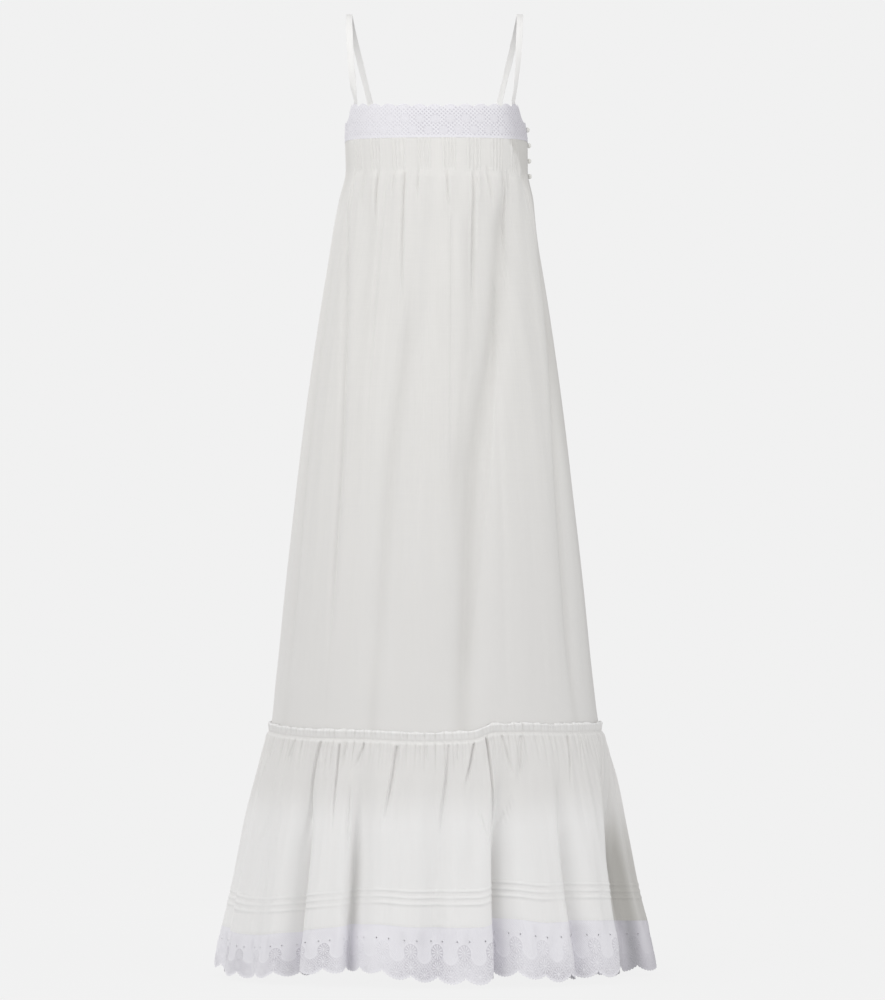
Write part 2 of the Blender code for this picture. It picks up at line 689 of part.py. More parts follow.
def strap_anchor(side, bearing, rise):
    """A place on a strap that lies against the band, that far above its top edge; and its width's way."""
    behind = LACE + SEAM_GAP + STRAP_THICKNESS / 2 + STRAP_CLEARANCE
    spot = np.array([side * bearing])
    height = band_edge(spot, "top") + rise
    _, _, out_x, out_y, _ = ring(spot, height)
    return placed(spot, height, -behind)[0], side * np.array([-out_y[0], out_x[0], 0.0])


def strap_path(side):
    """Centre line and width direction of a strap, from the front corner over the shoulder to the back."""
    front_end, front_wide = strap_anchor(side, STRAP_BEARING, -STRAP_TUCKED_IN)
    front_edge, _ = strap_anchor(side, STRAP_BEARING, STRAP_CLEAR_OF_EDGE)
    back_end, back_wide = strap_anchor(side, STRAP_BACK_BEARING, -STRAP_TUCKED_IN)
    back_edge, _ = strap_anchor(side, STRAP_BACK_BEARING, STRAP_CLEAR_OF_EDGE)
    mirror = np.array([side, 1, 1])
    up_front, shoulder, over_back = [np.array(points) * mirror for points in STRAP_PULLS]
    steps = np.linspace(0, 1, STRAP_SECTIONS // 2 + 1)
    front_run = bezier(np.vstack([front_edge, up_front, shoulder]), steps)
    back_run = bezier(np.vstack([shoulder, over_back, back_edge]), steps)
    line = np.vstack([front_end, front_run, back_run[1:], back_end])
    share = np.linspace(0, 1, len(line))[:, None]
    leaving, arriving = ramp(share, *STRAP_LEAVES_FRONT), ramp(share, *STRAP_JOINS_BACK)
    on_top = np.array(STRAP_TOP_WIDTH_WAY) * mirror
    wide = front_wide * (1 - leaving) + on_top * leaving * (1 - arriving) - back_wide * arriving
    return line, wide


def sleeve(bm, rings):
    """Joins rings of points one after another, and closes both ends."""
    loops = [[bm.verts.new(point) for point in ring_points] for ring_points in rings]
    for before, after in zip(loops, loops[1:]):
        for place, point in enumerate(before):
            following = (place + 1) % len(before)
            bm.faces.new((point, before[following], after[following], after[place]))
    bm.faces.new(loops[0][::-1])
    bm.faces.new(loops[-1])


def make_strap(name, side, material):
    """A flat strap with rounded edges, sewn behind the band at both ends."""
    line, wide = strap_path(side)
    run = np.gradient(line, axis=0)
    run /= np.linalg.norm(run, axis=1, keepdims=True)
    wide -= run * np.einsum("ij,ij->i", run, wide)[:, None]
    wide /= np.linalg.norm(wide, axis=1, keepdims=True)
    thick = np.cross(run, wide)
    half, rise = STRAP_WIDTH / 2, STRAP_THICKNESS / 2
    upper = [(-half, 0), (rise - half, rise), (half - rise, rise), (half, 0)]
    outline = np.array([*upper, (half - rise, -rise), (rise - half, -rise)])
    sections = line[:, None] + wide[:, None] * outline[:, :1] + thick[:, None] * outline[:, 1:]
    bm = bmesh.new()
    sleeve(bm, sections)
    return finished(name, material, bm)


def make_button(name, height, material):
    """A cloth-covered dome button, its flat back just off the side of the dress."""
    bearing, depth = np.array([BUTTON_BEARING]), np.array([-height])
    facing = outward(form_surface, bearing, depth)[0]
    across = np.cross((0, 0, 1), facing)
    across /= np.linalg.norm(across)
    seat = form_surface(bearing, depth)[0] + facing * BUTTON_STANDOFF
    turns = np.radians(BUTTON_TURNS)
    radii = np.concatenate([[BUTTON_BACK], BUTTON_RADIUS * np.cos(turns)])
    rises = np.concatenate([[0.0], BUTTON_RIM + (BUTTON_DOME - BUTTON_RIM) * np.sin(turns)])
    angles = np.arange(BUTTON_SIDES) * 2 * math.pi / BUTTON_SIDES
    spokes = np.outer(np.cos(angles), across) + np.outer(np.sin(angles), np.cross(facing, across))
    bm = bmesh.new()
    sleeve(bm, seat + facing * rises[:, None, None] + radii[:, None, None] * spokes)
    made = finished(name, material, bm)
    made.data.shade_smooth()
    return made


def main():
    """Builds the dress, piece by piece."""
    clear_scene()
    cotton = make_material("cotton", COTTON)
    lace = make_material("lace", WHITE_LACE)
    covered = make_material("covered_button", COVERED)
    for side_name, middle in (("front", 0.0), ("back", 180.0)):
        make_skirt(f"skirt_{side_name}", middle, cotton)
        make_tier(f"tier_{side_name}", middle, cotton)
        make_hem_lace(f"hem_lace_{side_name}", middle, lace)
    make_neck_lace("neck_lace_front", 0.0, FRONT_CORNER, FRONT_SCALLOPS, lace)
    make_neck_lace("neck_lace_back", 180.0, 180.0 - BACK_CORNER, BACK_SCALLOPS, lace)
    make_strap("strap_right", -1, cotton)
    make_strap("strap_left", 1, cotton)
    for number in range(BUTTONS):
        make_button(f"button_{number + 1}", BUTTON_TOP - number * BUTTON_PITCH, covered)


main()
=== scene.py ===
"""Looks of a strappy white maxi dress, in metres, built round the dress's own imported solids.

Cloth is worked out as arrays of points. A bearing goes round the body: 0 is the centre front, 90 the
wearer's left side (+X), 180 the centre back. The other measure runs down the cloth.
"""

import logging
from collections.abc import Callable, Sequence
from dataclasses import dataclass
from enum import Enum
from typing import Any, NamedTuple

import bpy
import numpy as np
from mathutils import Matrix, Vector


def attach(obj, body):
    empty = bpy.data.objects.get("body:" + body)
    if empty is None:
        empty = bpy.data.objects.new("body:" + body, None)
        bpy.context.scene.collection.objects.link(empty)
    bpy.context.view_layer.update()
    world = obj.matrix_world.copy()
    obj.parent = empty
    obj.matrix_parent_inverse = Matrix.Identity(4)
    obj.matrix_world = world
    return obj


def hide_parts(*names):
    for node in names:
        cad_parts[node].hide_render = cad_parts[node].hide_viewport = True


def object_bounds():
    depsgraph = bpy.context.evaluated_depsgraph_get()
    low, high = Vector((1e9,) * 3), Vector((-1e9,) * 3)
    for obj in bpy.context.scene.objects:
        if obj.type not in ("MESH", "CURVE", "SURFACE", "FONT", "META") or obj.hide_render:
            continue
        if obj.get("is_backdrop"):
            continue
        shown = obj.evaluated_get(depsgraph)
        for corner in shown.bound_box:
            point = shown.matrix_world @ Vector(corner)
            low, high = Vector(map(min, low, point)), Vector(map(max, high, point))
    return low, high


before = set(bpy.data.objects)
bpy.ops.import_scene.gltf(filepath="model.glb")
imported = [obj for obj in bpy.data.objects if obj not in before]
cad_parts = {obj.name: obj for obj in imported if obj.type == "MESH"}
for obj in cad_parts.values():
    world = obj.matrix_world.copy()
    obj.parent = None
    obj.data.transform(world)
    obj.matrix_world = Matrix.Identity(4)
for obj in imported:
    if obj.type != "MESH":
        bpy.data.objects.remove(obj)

Array = np.ndarray
Surface = Callable[[Array, Array], Array]
Row = tuple[Array, Array, float]
LOG = logging.getLogger("maxi_dress")
TURN_STEP = 0.01
DOWN_STEP = 1e-4
SIDE_SEAM = 89.94
NET_ROWS = 64
ALMOST_ZERO = 1e-7
WAVE_TURNS = 0.159
THREAD_LIFT = 0.35


class Half(Enum):
    """The half of the dress that a panel covers; the value is the bearing of its middle."""

    FRONT = 0.0
    BACK = 180.0

    @property
    def label(self) -> str:
        """The half's name in lower case."""
        return self.name.lower()


class Slot(Enum):
    """The record's material slots."""

    COTTON = "cotton"
    LACE = "lace"
    BUTTON = "covered_button"


# ---- curves and uneven values


def smooth(places: Array, knots: Sequence[float], values: Sequence[float]) -> Array:
    """A curve through the knots that never overshoots: cubic spans whose slopes are harmonic means.

    Args:
        places: where the curve is read.
        knots: places of the knots, rising.
        values: the curve's values there.
    Returns:
        The curve's values at the places.
    """
    knots, values = np.asarray(knots, float), np.asarray(values, float)
    steps = np.diff(knots)
    rises = np.diff(values) / steps
    slopes = np.concatenate([rises[:1], np.zeros(len(knots) - 2), rises[-1:]])
    same_way = rises[:-1] * rises[1:] > 0
    before, after = rises[:-1][same_way], rises[1:][same_way]
    near, far = steps[:-1][same_way], steps[1:][same_way]
    slopes[1:-1][same_way] = 3 * (near + far) / ((2 * far + near) / before + (far + 2 * near) / after)
    places = np.clip(places, knots[0], knots[-1])
    cell = np.clip(np.searchsorted(knots, places) - 1, 0, len(steps) - 1)
    width = steps[cell]
    t = (places - knots[cell]) / width
    return (
        (2 * t**3 - 3 * t**2 + 1) * values[cell]
        + (t**3 - 2 * t**2 + t) * width * slopes[cell]
        + (3 * t**2 - 2 * t**3) * values[cell + 1]
        + (t**3 - t**2) * width * slopes[cell + 1]
    )


def eased(share: Array) -> Array:
    """A share from 0 to 1 made soft at both ends, as 3t^2 - 2t^3."""
    return share * share * (3 - 2 * share)


def ramp(value: Array, start: float, end: float) -> Array:
    """0 before start and 1 after end, eased between."""
    return eased(np.clip((value - start) / (end - start), 0, 1))


def within(value: Array, start: float, full: float, going: float, gone: float) -> Array:
    """0 outside a range and 1 in its middle, with a ramp at each end."""
    return ramp(value, start, full) * (1 - ramp(value, going, gone))


def bell(value: Array, width: float | Array) -> Array:
    """1 at zero, falling to both sides as exp(-(value / width)^2)."""
    return np.exp(-((value / width) ** 2))


def travelled(points: Array) -> Array:
    """Distance along a row of points, from its first."""
    return np.concatenate([[0], np.cumsum(np.linalg.norm(np.diff(points, axis=0), axis=-1))])


def turned(bearing: Array) -> Array:
    """The bearing brought between -180 and 180 degrees."""
    return (bearing + 180.0) % 360.0 - 180.0


def uneven(bearing: Array, cells: int, seed: int) -> Array:
    """Values from -1 to 1 round the body: a random one in each cell, joined by soft steps."""
    table = np.random.default_rng(seed).uniform(-1, 1, cells)
    at = bearing / 360.0 * cells
    base = np.floor(at).astype(int)
    t = eased(at - base)
    return table[base % cells] * (1 - t) + table[(base + 1) % cells] * t


def mottled(bearing: Array, down: Array, cells: int, tall: float, seed: int) -> Array:
    """Values from -1 to 1 over the cloth: random at each crossing of a net, joined by soft steps.

    Args:
        bearing: place round the body.
        down: place down the cloth, in metres.
        cells: cells round the body.
        tall: height of a cell, in metres.
        seed: picks the random values.
    Returns:
        The value at each place.
    """
    table = np.random.default_rng(seed).uniform(-1, 1, (NET_ROWS, cells))
    at, deep = bearing / 360.0 * cells, down / tall
    column, row = np.floor(at).astype(int), np.floor(deep).astype(int)
    t, u = eased(at - column), eased(deep - row)
    above, below = row % NET_ROWS, (row + 1) % NET_ROWS
    left, right = column % cells, (column + 1) % cells
    high = table[above, left] * (1 - t) + table[above, right] * t
    low = table[below, left] * (1 - t) + table[below, right] * t
    return high * (1 - u) + low * u


def outward(surface: Surface, across: Array, down: Array) -> Array:
    """Unit directions off a surface: the cross product of its steps down and to the right."""
    right = surface(across + TURN_STEP, down) - surface(across - TURN_STEP, down)
    fall = surface(across, down + DOWN_STEP) - surface(across, down - DOWN_STEP)
    normal = np.cross(fall, right)
    return normal / np.maximum(np.linalg.norm(normal, axis=-1, keepdims=True), 1e-12)


def stepped(*runs: tuple[float, float, int]) -> Array:
    """Joins runs of evenly spaced values, each given as its start, its end and how many steps."""
    parts = [np.linspace(start, end, steps, endpoint=False) for start, end, steps in runs]
    return np.concatenate([*parts, [runs[-1][1]]])


# ---- meshes


@dataclass
class ClothMesh:
    """Points, faces and cloth coordinates of a piece before it is a mesh."""

    points: Array
    faces: Array
    cloth: Array
    value: Array | None = None

    @classmethod
    def from_grid(cls, points: Array, cloth: Array, value: Array) -> "ClothMesh":
        """Joins a grid of points, rows running down and columns to the right, into outward quads.

        Args:
            points: rows x columns x 3.
            cloth: rows x columns x 2, where each point lies on the flat cloth.
            value: rows x columns, the measure that its finish reads.
        Returns:
            The joined mesh.
        """
        rows, columns = points.shape[:2]
        index = np.arange(rows * columns).reshape(rows, columns)
        quads = np.stack([index[:-1, :-1], index[1:, :-1], index[1:, 1:], index[:-1, 1:]], -1)
        return cls(points.reshape(-1, 3), quads.reshape(-1, 4), cloth.reshape(-1, 2), value)

    def make(self, name: str, finish: "Finish") -> bpy.types.Object:
        """Puts the arrays into a smooth-shaded object with a UV map in metres of cloth.

        Args:
            name: the piece's name.
            finish: what it is dressed in.
        Returns:
            The new object.
        """
        mesh = bpy.data.meshes.new(name)
        mesh.from_pydata(self.points.tolist(), [], self.faces.tolist())
        corners = np.zeros(len(mesh.loops), np.int32)
        mesh.loops.foreach_get("vertex_index", corners)
        layer = mesh.uv_layers.new(name="UVMap")
        layer.data.foreach_set("uv", self.cloth[corners].astype(np.float32).ravel())
        mesh.polygons.foreach_set("use_smooth", np.ones(len(mesh.polygons), bool))
        if self.value is not None:
            share = mesh.attributes.new(finish.measure, "FLOAT", "POINT")
            share.data.foreach_set("value", self.value.astype(np.float32).ravel())
        mesh.materials.append(finish.material())
        mesh.update()
        made = bpy.data.objects.new(name, mesh)
        bpy.context.scene.collection.objects.link(made)
        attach(made, "root")
        LOG.info("%s: %d faces", name, len(self.faces))
        return made


def ring_quads(rows: int, columns: int) -> Array:
    """Outward quads between closed rings of points, numbered one ring after another."""
    index = np.arange(rows * columns).reshape(rows, columns)
    after = np.roll(index, -1, axis=1)
    return np.stack([index[:-1], after[:-1], after[1:], index[1:]], -1).reshape(-1, 4)


def odd_first(triangles: Array, odd: Array) -> Array:
    """Turns each triangle round so that its odd corner comes first."""
    return np.take_along_axis(triangles, (np.arange(3) + odd.argmax(1)[:, None]) % 3, 1)


def cut_cloth(along: Array, down: Array, keep: Surface) -> tuple[Array, Array]:
    """The part of a flat cloth that a pattern leaves, as triangles clipped where the pattern is zero.

    Every cell of a grid is two triangles. Corners where the pattern is above zero stay. An edge that changes
    sign is cut where a straight change of value meets zero, and what remains of each triangle is joined up.

    Args:
        along: the grid's columns, in metres along the cloth.
        down: the grid's rows, in metres down it.
        keep: the pattern's value at places on the cloth.
    Returns:
        The places that are used, n x 2, and the triangles between them, m x 3.
    """
    grid_along, grid_down = np.meshgrid(along, down)
    value = keep(grid_along, grid_down).ravel()
    value = np.where(np.abs(value) < ALMOST_ZERO, -ALMOST_ZERO, value)
    places = np.stack([grid_along.ravel(), grid_down.ravel()], -1)
    index = np.arange(len(value)).reshape(grid_along.shape)
    a, b = index[:-1, :-1].ravel(), index[:-1, 1:].ravel()
    c, d = index[1:, 1:].ravel(), index[1:, :-1].ravel()
    triangles = np.concatenate([np.stack([a, d, c], -1), np.stack([a, c, b], -1)])
    inside = value[triangles] > 0
    count = inside.sum(1)
    ones = odd_first(triangles[count == 1], inside[count == 1])
    twos = odd_first(triangles[count == 2], ~inside[count == 2])
    cuts = np.concatenate([some[:, [0, corner]] for some in (ones, twos) for corner in (1, 2)])
    keys, back = np.unique(cuts.min(1) * len(value) + cuts.max(1), return_inverse=True)
    first, second = keys // len(value), keys % len(value)
    share = (value[first] / (value[first] - value[second]))[:, None]
    places = np.concatenate([places, places[first] * (1 - share) + places[second] * share])
    one, two = len(ones), len(twos)
    ahead, behind, enter, leave = np.split(len(value) + back, [one, 2 * one, 2 * one + two])
    tips = np.stack([ones[:, 0], ahead, behind], -1)
    wide = np.stack([enter, twos[:, 1], twos[:, 2]], -1)
    rest = np.stack([enter, twos[:, 2], leave], -1)
    joined = np.concatenate([triangles[count == 3], tips, wide, rest])
    used, renumbered = np.unique(joined, return_inverse=True)
    return places[used], renumbered.reshape(joined.shape)


def stitches(ends: Array, facing: Array, thread: float) -> ClothMesh:
    """Lays a thread stitch between each pair of ends: an eight-sided spindle that stands off the cloth.

    Args:
        ends: stitches x 2 x 3, where each goes into the cloth.
        facing: stitches x 3, the cloth's outward direction.
        thread: the thread's thickness, in metres.
    Returns:
        All the stitches as one mesh.
    """
    run = ends[:, 1] - ends[:, 0]
    length = np.linalg.norm(run, axis=1, keepdims=True)
    side = np.cross(run / length, facing)
    middle = ends.mean(1) + facing * thread * THREAD_LIFT
    offsets = [side, facing, -side, -facing]
    ring = [middle + way * thread / 2 for way in offsets]
    points = np.stack([ends[:, 0], *ring, ends[:, 1]], 1)
    caps = [(0, 1 + i, 1 + (i + 1) % 4) for i in range(4)]
    caps += [(5, 1 + (i + 1) % 4, 1 + i) for i in range(4)]
    faces = np.array(caps)[None] + 6 * np.arange(len(ends))[:, None, None]
    flat = np.repeat(np.cumsum(length)[:, None], 6, axis=1)
    return ClothMesh(points.reshape(-1, 3), faces.reshape(-1, 3), np.stack([flat, flat * 0], -1).reshape(-1, 2))


def sewn(surface: Surface, rows: Sequence[Row], thread: float, share: float) -> ClothMesh:
    """Rows of stitches that follow places on a surface.

    Args:
        surface: the cloth.
        rows: for each row its bearings, how far down each is, and how far the thread is lifted.
        thread: the thread's thickness, in metres.
        share: how much of each step a stitch covers.
    Returns:
        All the stitches as one mesh.
    """
    ends, facings = [], []
    for across, down, lift in rows:
        points, facing = surface(across, down), outward(surface, across[:-1], down[:-1])
        start = points[:-1]
        ends.append(np.stack([start, start + (points[1:] - start) * share], 1) + facing[:, None] * lift)
        facings.append(facing)
    return stitches(np.concatenate(ends), np.concatenate(facings), thread)


# ---- shader nodes


class Wire:
    """A node's output that can be used in sums; each operation on it adds a Math node."""

    def __init__(self, graph: "Graph", socket: bpy.types.NodeSocket) -> None:
        """Wraps a socket of the graph."""
        self.graph = graph
        self.socket = socket

    def maths(self, operation: str, *others: "Wire | float") -> "Wire":
        """The result of a Math node on this value and the others."""
        values = dict(enumerate((self, *others)))
        return self.graph.add("ShaderNodeMath", {"operation": operation}, values)

    def __add__(self, other: "Wire | float") -> "Wire":
        """This value plus another."""
        return self.maths("ADD", other)

    __radd__ = __add__

    def __sub__(self, other: "Wire | float") -> "Wire":
        """This value less another."""
        return self.maths("SUBTRACT", other)

    def __rsub__(self, other: float) -> "Wire":
        """A number less this value."""
        return self.maths("MULTIPLY", -1.0).maths("ADD", other)

    def __mul__(self, other: "Wire | float") -> "Wire":
        """This value times another."""
        return self.maths("MULTIPLY", other)

    __rmul__ = __mul__

    def between(self, start: float, end: float) -> "Wire":
        """0 before start and 1 after end, with a soft change between."""
        inputs = {"Value": self, "From Min": start, "From Max": end}
        return self.graph.add("ShaderNodeMapRange", {"interpolation_type": "SMOOTHSTEP"}, inputs)


class Graph:
    """The nodes of one material."""

    def __init__(self, name: str) -> None:
        """Starts a material of that name with its Principled shader."""
        self.material = bpy.data.materials.new(name)
        self.material.use_nodes = True
        self.nodes = self.material.node_tree.nodes
        self.shader = self.nodes["Principled BSDF"]

    def add(self, kind: str, settings: dict[str, Any], inputs: dict[Any, Any], output: Any = 0) -> Wire:
        """Adds any node.

        Args:
            kind: the node's type.
            settings: its properties, set first.
            inputs: values or wires for its sockets, by name or number.
            output: the socket that is handed out.
        Returns:
            That output as a wire.
        """
        node = self.nodes.new(kind)
        for name, value in settings.items():
            setattr(node, name, value)
        for name, value in inputs.items():
            self.feed(node.inputs[name], value)
        return Wire(self, node.outputs[output])

    def feed(self, socket: bpy.types.NodeSocket, value: Any) -> None:
        """Links a wire to a socket, or sets the socket's own value."""
        if isinstance(value, Wire):
            self.material.node_tree.links.new(value.socket, socket)
        else:
            socket.default_value = value

    def cloth(self, across: float, down: float) -> Wire:
        """The piece's UV map, in metres of cloth, scaled along each way."""
        place = self.add("ShaderNodeTexCoord", {}, {}, "UV")
        return self.add("ShaderNodeVectorMath", {"operation": "MULTIPLY"}, {0: place, 1: (across, down, 1.0)})

    def noise(self, place: Wire, scale: float, detail: float, roughness: float = 0.5) -> Wire:
        """A noise from 0 to 1 at a place."""
        inputs = {"Vector": place, "Scale": scale, "Detail": detail, "Roughness": roughness}
        return self.add("ShaderNodeTexNoise", {}, inputs)

    def waves(self, place: Wire, direction: str, scale: float, distortion: float) -> Wire:
        """Even bands from 0 to 1 across a place."""
        settings = {"wave_type": "BANDS", "bands_direction": direction, "wave_profile": "SIN"}
        inputs = {"Vector": place, "Scale": scale, "Distortion": distortion}
        return self.add("ShaderNodeTexWave", settings, inputs)

    def blend(self, share: Wire, first: Any, second: Any) -> Wire:
        """A colour between two, by a share from 0 to 1."""
        settings = {"data_type": "RGBA"}
        return self.add("ShaderNodeMix", settings, {"Factor": share, 6: first, 7: second}, 2)

    def height(self) -> Wire:
        """Height above the frame's origin, in metres, from Object coordinates."""
        place = self.add("ShaderNodeTexCoord", {}, {}, "Object")
        return self.add("ShaderNodeSeparateXYZ", {}, {0: place}, "Z")

    def bump(self, height: Wire, distance: float, strength: float) -> Wire:
        """A relief as a turned normal."""
        return self.add("ShaderNodeBump", {}, {"Height": height, "Distance": distance, "Strength": strength})

    def measure(self, name: str) -> Wire:
        """The value that each point of a piece carries under a name."""
        return self.add("ShaderNodeAttribute", {"attribute_name": name}, {}, "Fac")

    def dress(self, inputs: dict[str, Any]) -> bpy.types.Material:
        """Feeds the shader's sockets by their names and hands out the material."""
        for name, value in inputs.items():
            self.feed(self.shader.inputs[name], value)
        return self.material


def rgb(red: float, green: float, blue: float) -> tuple[float, float, float, float]:
    """A full colour with no transparency."""
    return (red, green, blue, 1.0)


@dataclass(frozen=True)
class Finish:
    """What a piece is dressed in; a material is made once and shared."""

    title: str
    slot: Slot
    measure: str = "share"

    def material(self) -> bpy.types.Material:
        """The finish's material, made the first time."""
        found = bpy.data.materials.get(self.title)
        return found if found else self.build(Graph(self.title))

    def build(self, graph: Graph) -> bpy.types.Material:
        """Adds the finish's nodes; each kind of finish has its own."""
        raise NotImplementedError


@dataclass(frozen=True)
class Voile(Finish):
    """Fine plain-woven cotton: slubbed threads, soft creases and a matt, slightly fuzzy face."""

    title: str = "cotton_voile"
    slot: Slot = Slot.COTTON
    light: tuple = (0.802, 0.792, 0.771)
    shade: tuple = (0.760, 0.751, 0.733)
    # Painted shade: the darker tone that the cloth takes lower on the body.
    painted_low_shade: tuple = (0.764, 0.754, 0.741)
    # Painted light: paler low down where light comes through one layer, and a painted highlight on crests.
    painted_pale: tuple = (0.858, 0.853, 0.848)
    # The attribute that carries painted shade, and a painted highlight where it is below zero.
    measure: str = "painted_shade"
    # Painted shade: the tone deep between flutes, in folds and behind a flute.
    painted_shade_colour: tuple = (0.500, 0.488, 0.462)
    layers_end: float = -1.150
    layers_gone: float = -1.222
    thread: float = 0.00042

    def build(self, graph: Graph) -> bpy.types.Material:
        """Weave and crease relief, slub streaks, painted shade lower on the body, and a painted paler tone low
        down, for light coming through where one layer hangs alone.

        Where the attribute is high it paints shade, deep between two flutes, in folds and under the arms.
        Where it is below zero it paints a highlight on small crests that stand clear.
        """
        slubs = graph.noise(graph.cloth(420.0, 14.0), 1.0, 3.0, 0.6)
        wefts = graph.noise(graph.cloth(11.0, 360.0), 1.0, 2.0, 0.55)
        clouds = graph.noise(graph.cloth(1.0, 0.6), 9.0, 3.0)
        bands = graph.noise(graph.cloth(22.0, 1.7), 1.0, 2.0)
        streaks = slubs * 0.28 + wefts * 0.14 + clouds * 0.22 + bands * 0.36
        tone = streaks.between(0.34, 0.66)
        low = graph.height() * -1.0 + clouds * 0.02
        # Painted shade and light: darker lower on the body, paler low down for light through one layer, darker
        # where the attribute is high and paler where it is below zero.
        painted_shade = graph.measure(self.measure)
        alone = low.between(-self.layers_end, -self.layers_gone) * (1 - painted_shade)
        doubled = graph.blend(tone, rgb(*self.shade), rgb(*self.light))
        doubled = graph.blend(low.between(0.52, 1.00) * 0.85, doubled, rgb(*self.painted_low_shade))
        colour = graph.blend(alone * (0.80 + tone * 0.20), doubled, rgb(*self.painted_pale))
        colour = graph.blend(painted_shade * 0.75, colour, rgb(*self.painted_shade_colour))
        colour = graph.blend(painted_shade * -1.0, colour, rgb(*self.painted_pale))
        matt = 0.84 + slubs * 0.12
        turns = WAVE_TURNS / self.thread
        warp = graph.waves(graph.cloth(1.0, 1.0), "X", turns, 0.6)
        weft = graph.waves(graph.cloth(1.0, 1.0), "Y", turns, 0.6)
        creased = graph.noise(graph.cloth(62.0, 9.0), 1.0, 4.0, 0.62)
        crinkle = graph.noise(graph.cloth(150.0, 75.0), 1.0, 2.0)
        relief = warp * 0.10 + weft * 0.10 + slubs * 0.12 + creased * 0.50 + crinkle * 0.14
        return graph.dress({
            "Base Color": colour, "Roughness": matt, "Normal": graph.bump(relief, 0.0009, 0.30),
            "Sheen Weight": 0.12, "Sheen Roughness": 0.55, "Specular IOR Level": 0.25,
        })


@dataclass(frozen=True)
class Openwork(Finish):
    """Cotton lace: satin stitch over a sheer ground, in a cooler white than the cloth."""

    title: str = "cotton_lace"
    slot: Slot = Slot.LACE
    measure: str = "thread_and_shade"
    satin: tuple = (0.840, 0.831, 0.870)
    # The sheer ground's colour, darkened as painted shade for the dark inside seen through it.
    sheer: tuple = (0.600, 0.586, 0.630)
    # Painted shade behind a flute.
    painted_shade_colour: tuple = (0.400, 0.395, 0.420)

    def build(self, graph: Graph) -> bpy.types.Material:
        """Pale where the attribute says that thread is laid, darker on the ground between; the ground's colour
        is partly its own and partly painted shade of the dark inside seen through it.

        Below zero the attribute paints shade, by how deep behind a flute the lace lies.
        """
        laid = graph.measure(self.measure)
        threads = graph.noise(graph.cloth(1300.0, 900.0), 1.0, 3.0, 0.65)
        satin = graph.waves(graph.cloth(1.0, 1.0), "DIAGONAL", 180.0, 5.0)
        tone = laid + threads * 0.14 - 0.07
        colour = graph.blend(tone, rgb(*self.sheer), rgb(*self.satin))
        return graph.dress({
            # Painted shade where the attribute is below zero.
            "Base Color": graph.blend(tone * -1.0, colour, rgb(*self.painted_shade_colour)),
            "Roughness": 0.66 + threads * 0.16,
            "Normal": graph.bump(threads * 0.6 + satin * 0.5, 0.0005, 0.5),
            "Sheen Weight": 0.10, "Specular IOR Level": 0.30,
        })


@dataclass(frozen=True)
class Thread(Finish):
    """Sewing thread with a slight lustre and a tight twist."""

    title: str = "sewing_thread"
    slot: Slot = Slot.COTTON

    def build(self, graph: Graph) -> bpy.types.Material:
        """A twist along the thread in colour and relief."""
        twist = graph.noise(graph.cloth(3000.0, 3000.0), 1.0, 1.0)
        colour = graph.blend(twist, rgb(0.74, 0.73, 0.71), rgb(0.83, 0.82, 0.81))
        return graph.dress({"Base Color": colour, "Roughness": 0.50 + twist * 0.2})


@dataclass(frozen=True)
class CoveredButton(Finish):
    """Voile pulled tight over a button form."""

    title: str = "covered_button"
    slot: Slot = Slot.BUTTON

    def build(self, graph: Graph) -> bpy.types.Material:
        """The cloth's weave, with faint pulls towards the rim."""
        weave = graph.noise(graph.cloth(1600.0, 1600.0), 1.0, 2.0)
        pulls = graph.noise(graph.cloth(500.0, 60.0), 1.0, 2.0)
        tone = weave * 0.5 + pulls * 0.5
        colour = graph.blend(tone, rgb(0.70, 0.69, 0.67), rgb(0.80, 0.79, 0.775))
        matt = 0.62 + weave * 0.2
        return graph.dress({"Base Color": colour, "Roughness": matt, "Normal": graph.bump(tone, 0.0004, 0.6)})


# ---- the worn form


class Station(NamedTuple):
    """Plan outline at a height; sway is how far it hangs to the wearer's left."""

    height: float
    half_width: float
    front: float
    back: float
    sway: float
    squareness: float


# Rows of tenths of a millimetre, with the squareness in hundredths.
STATIONS = tuple(Station(*(size / 1e4 for size in sizes), power / 100) for *sizes, power in (
    (-14500, 3330, 2700, 2700, 15, 200), (-14025, 3270, 2620, 2610, 15, 200),
    (-13125, 3060, 2450, 2420, 0, 200), (-12225, 2875, 2290, 2250, 0, 200), (-11325, 2660, 2110, 2060, 15, 200),
    (-10900, 2530, 2000, 1950, 15, 202), (-10740, 2475, 1955, 1905, 10, 203), (-9975, 2380, 1880, 1820, 0, 205),
    (-8625, 2243, 1770, 1700, 0, 208), (-7275, 2093, 1660, 1570, 0, 210), (-5925, 1932, 1550, 1430, 0, 212),
    (-4125, 1680, 1410, 1220, 8, 215), (-3225, 1535, 1340, 1120, 20, 220), (-2775, 1455, 1290, 1070, 28, 225),
    (-2325, 1365, 1220, 1035, 34, 232), (-1920, 1368, 1140, 1010, 26, 240), (-1600, 1345, 1060, 980, 10, 245),
    (-1300, 1300, 980, 930, 0, 250),
))


class Ring(NamedTuple):
    """Points of an outline, their outward directions and its radius of travel."""

    x: Array
    y: Array
    out_x: Array
    out_y: Array
    travel: Array


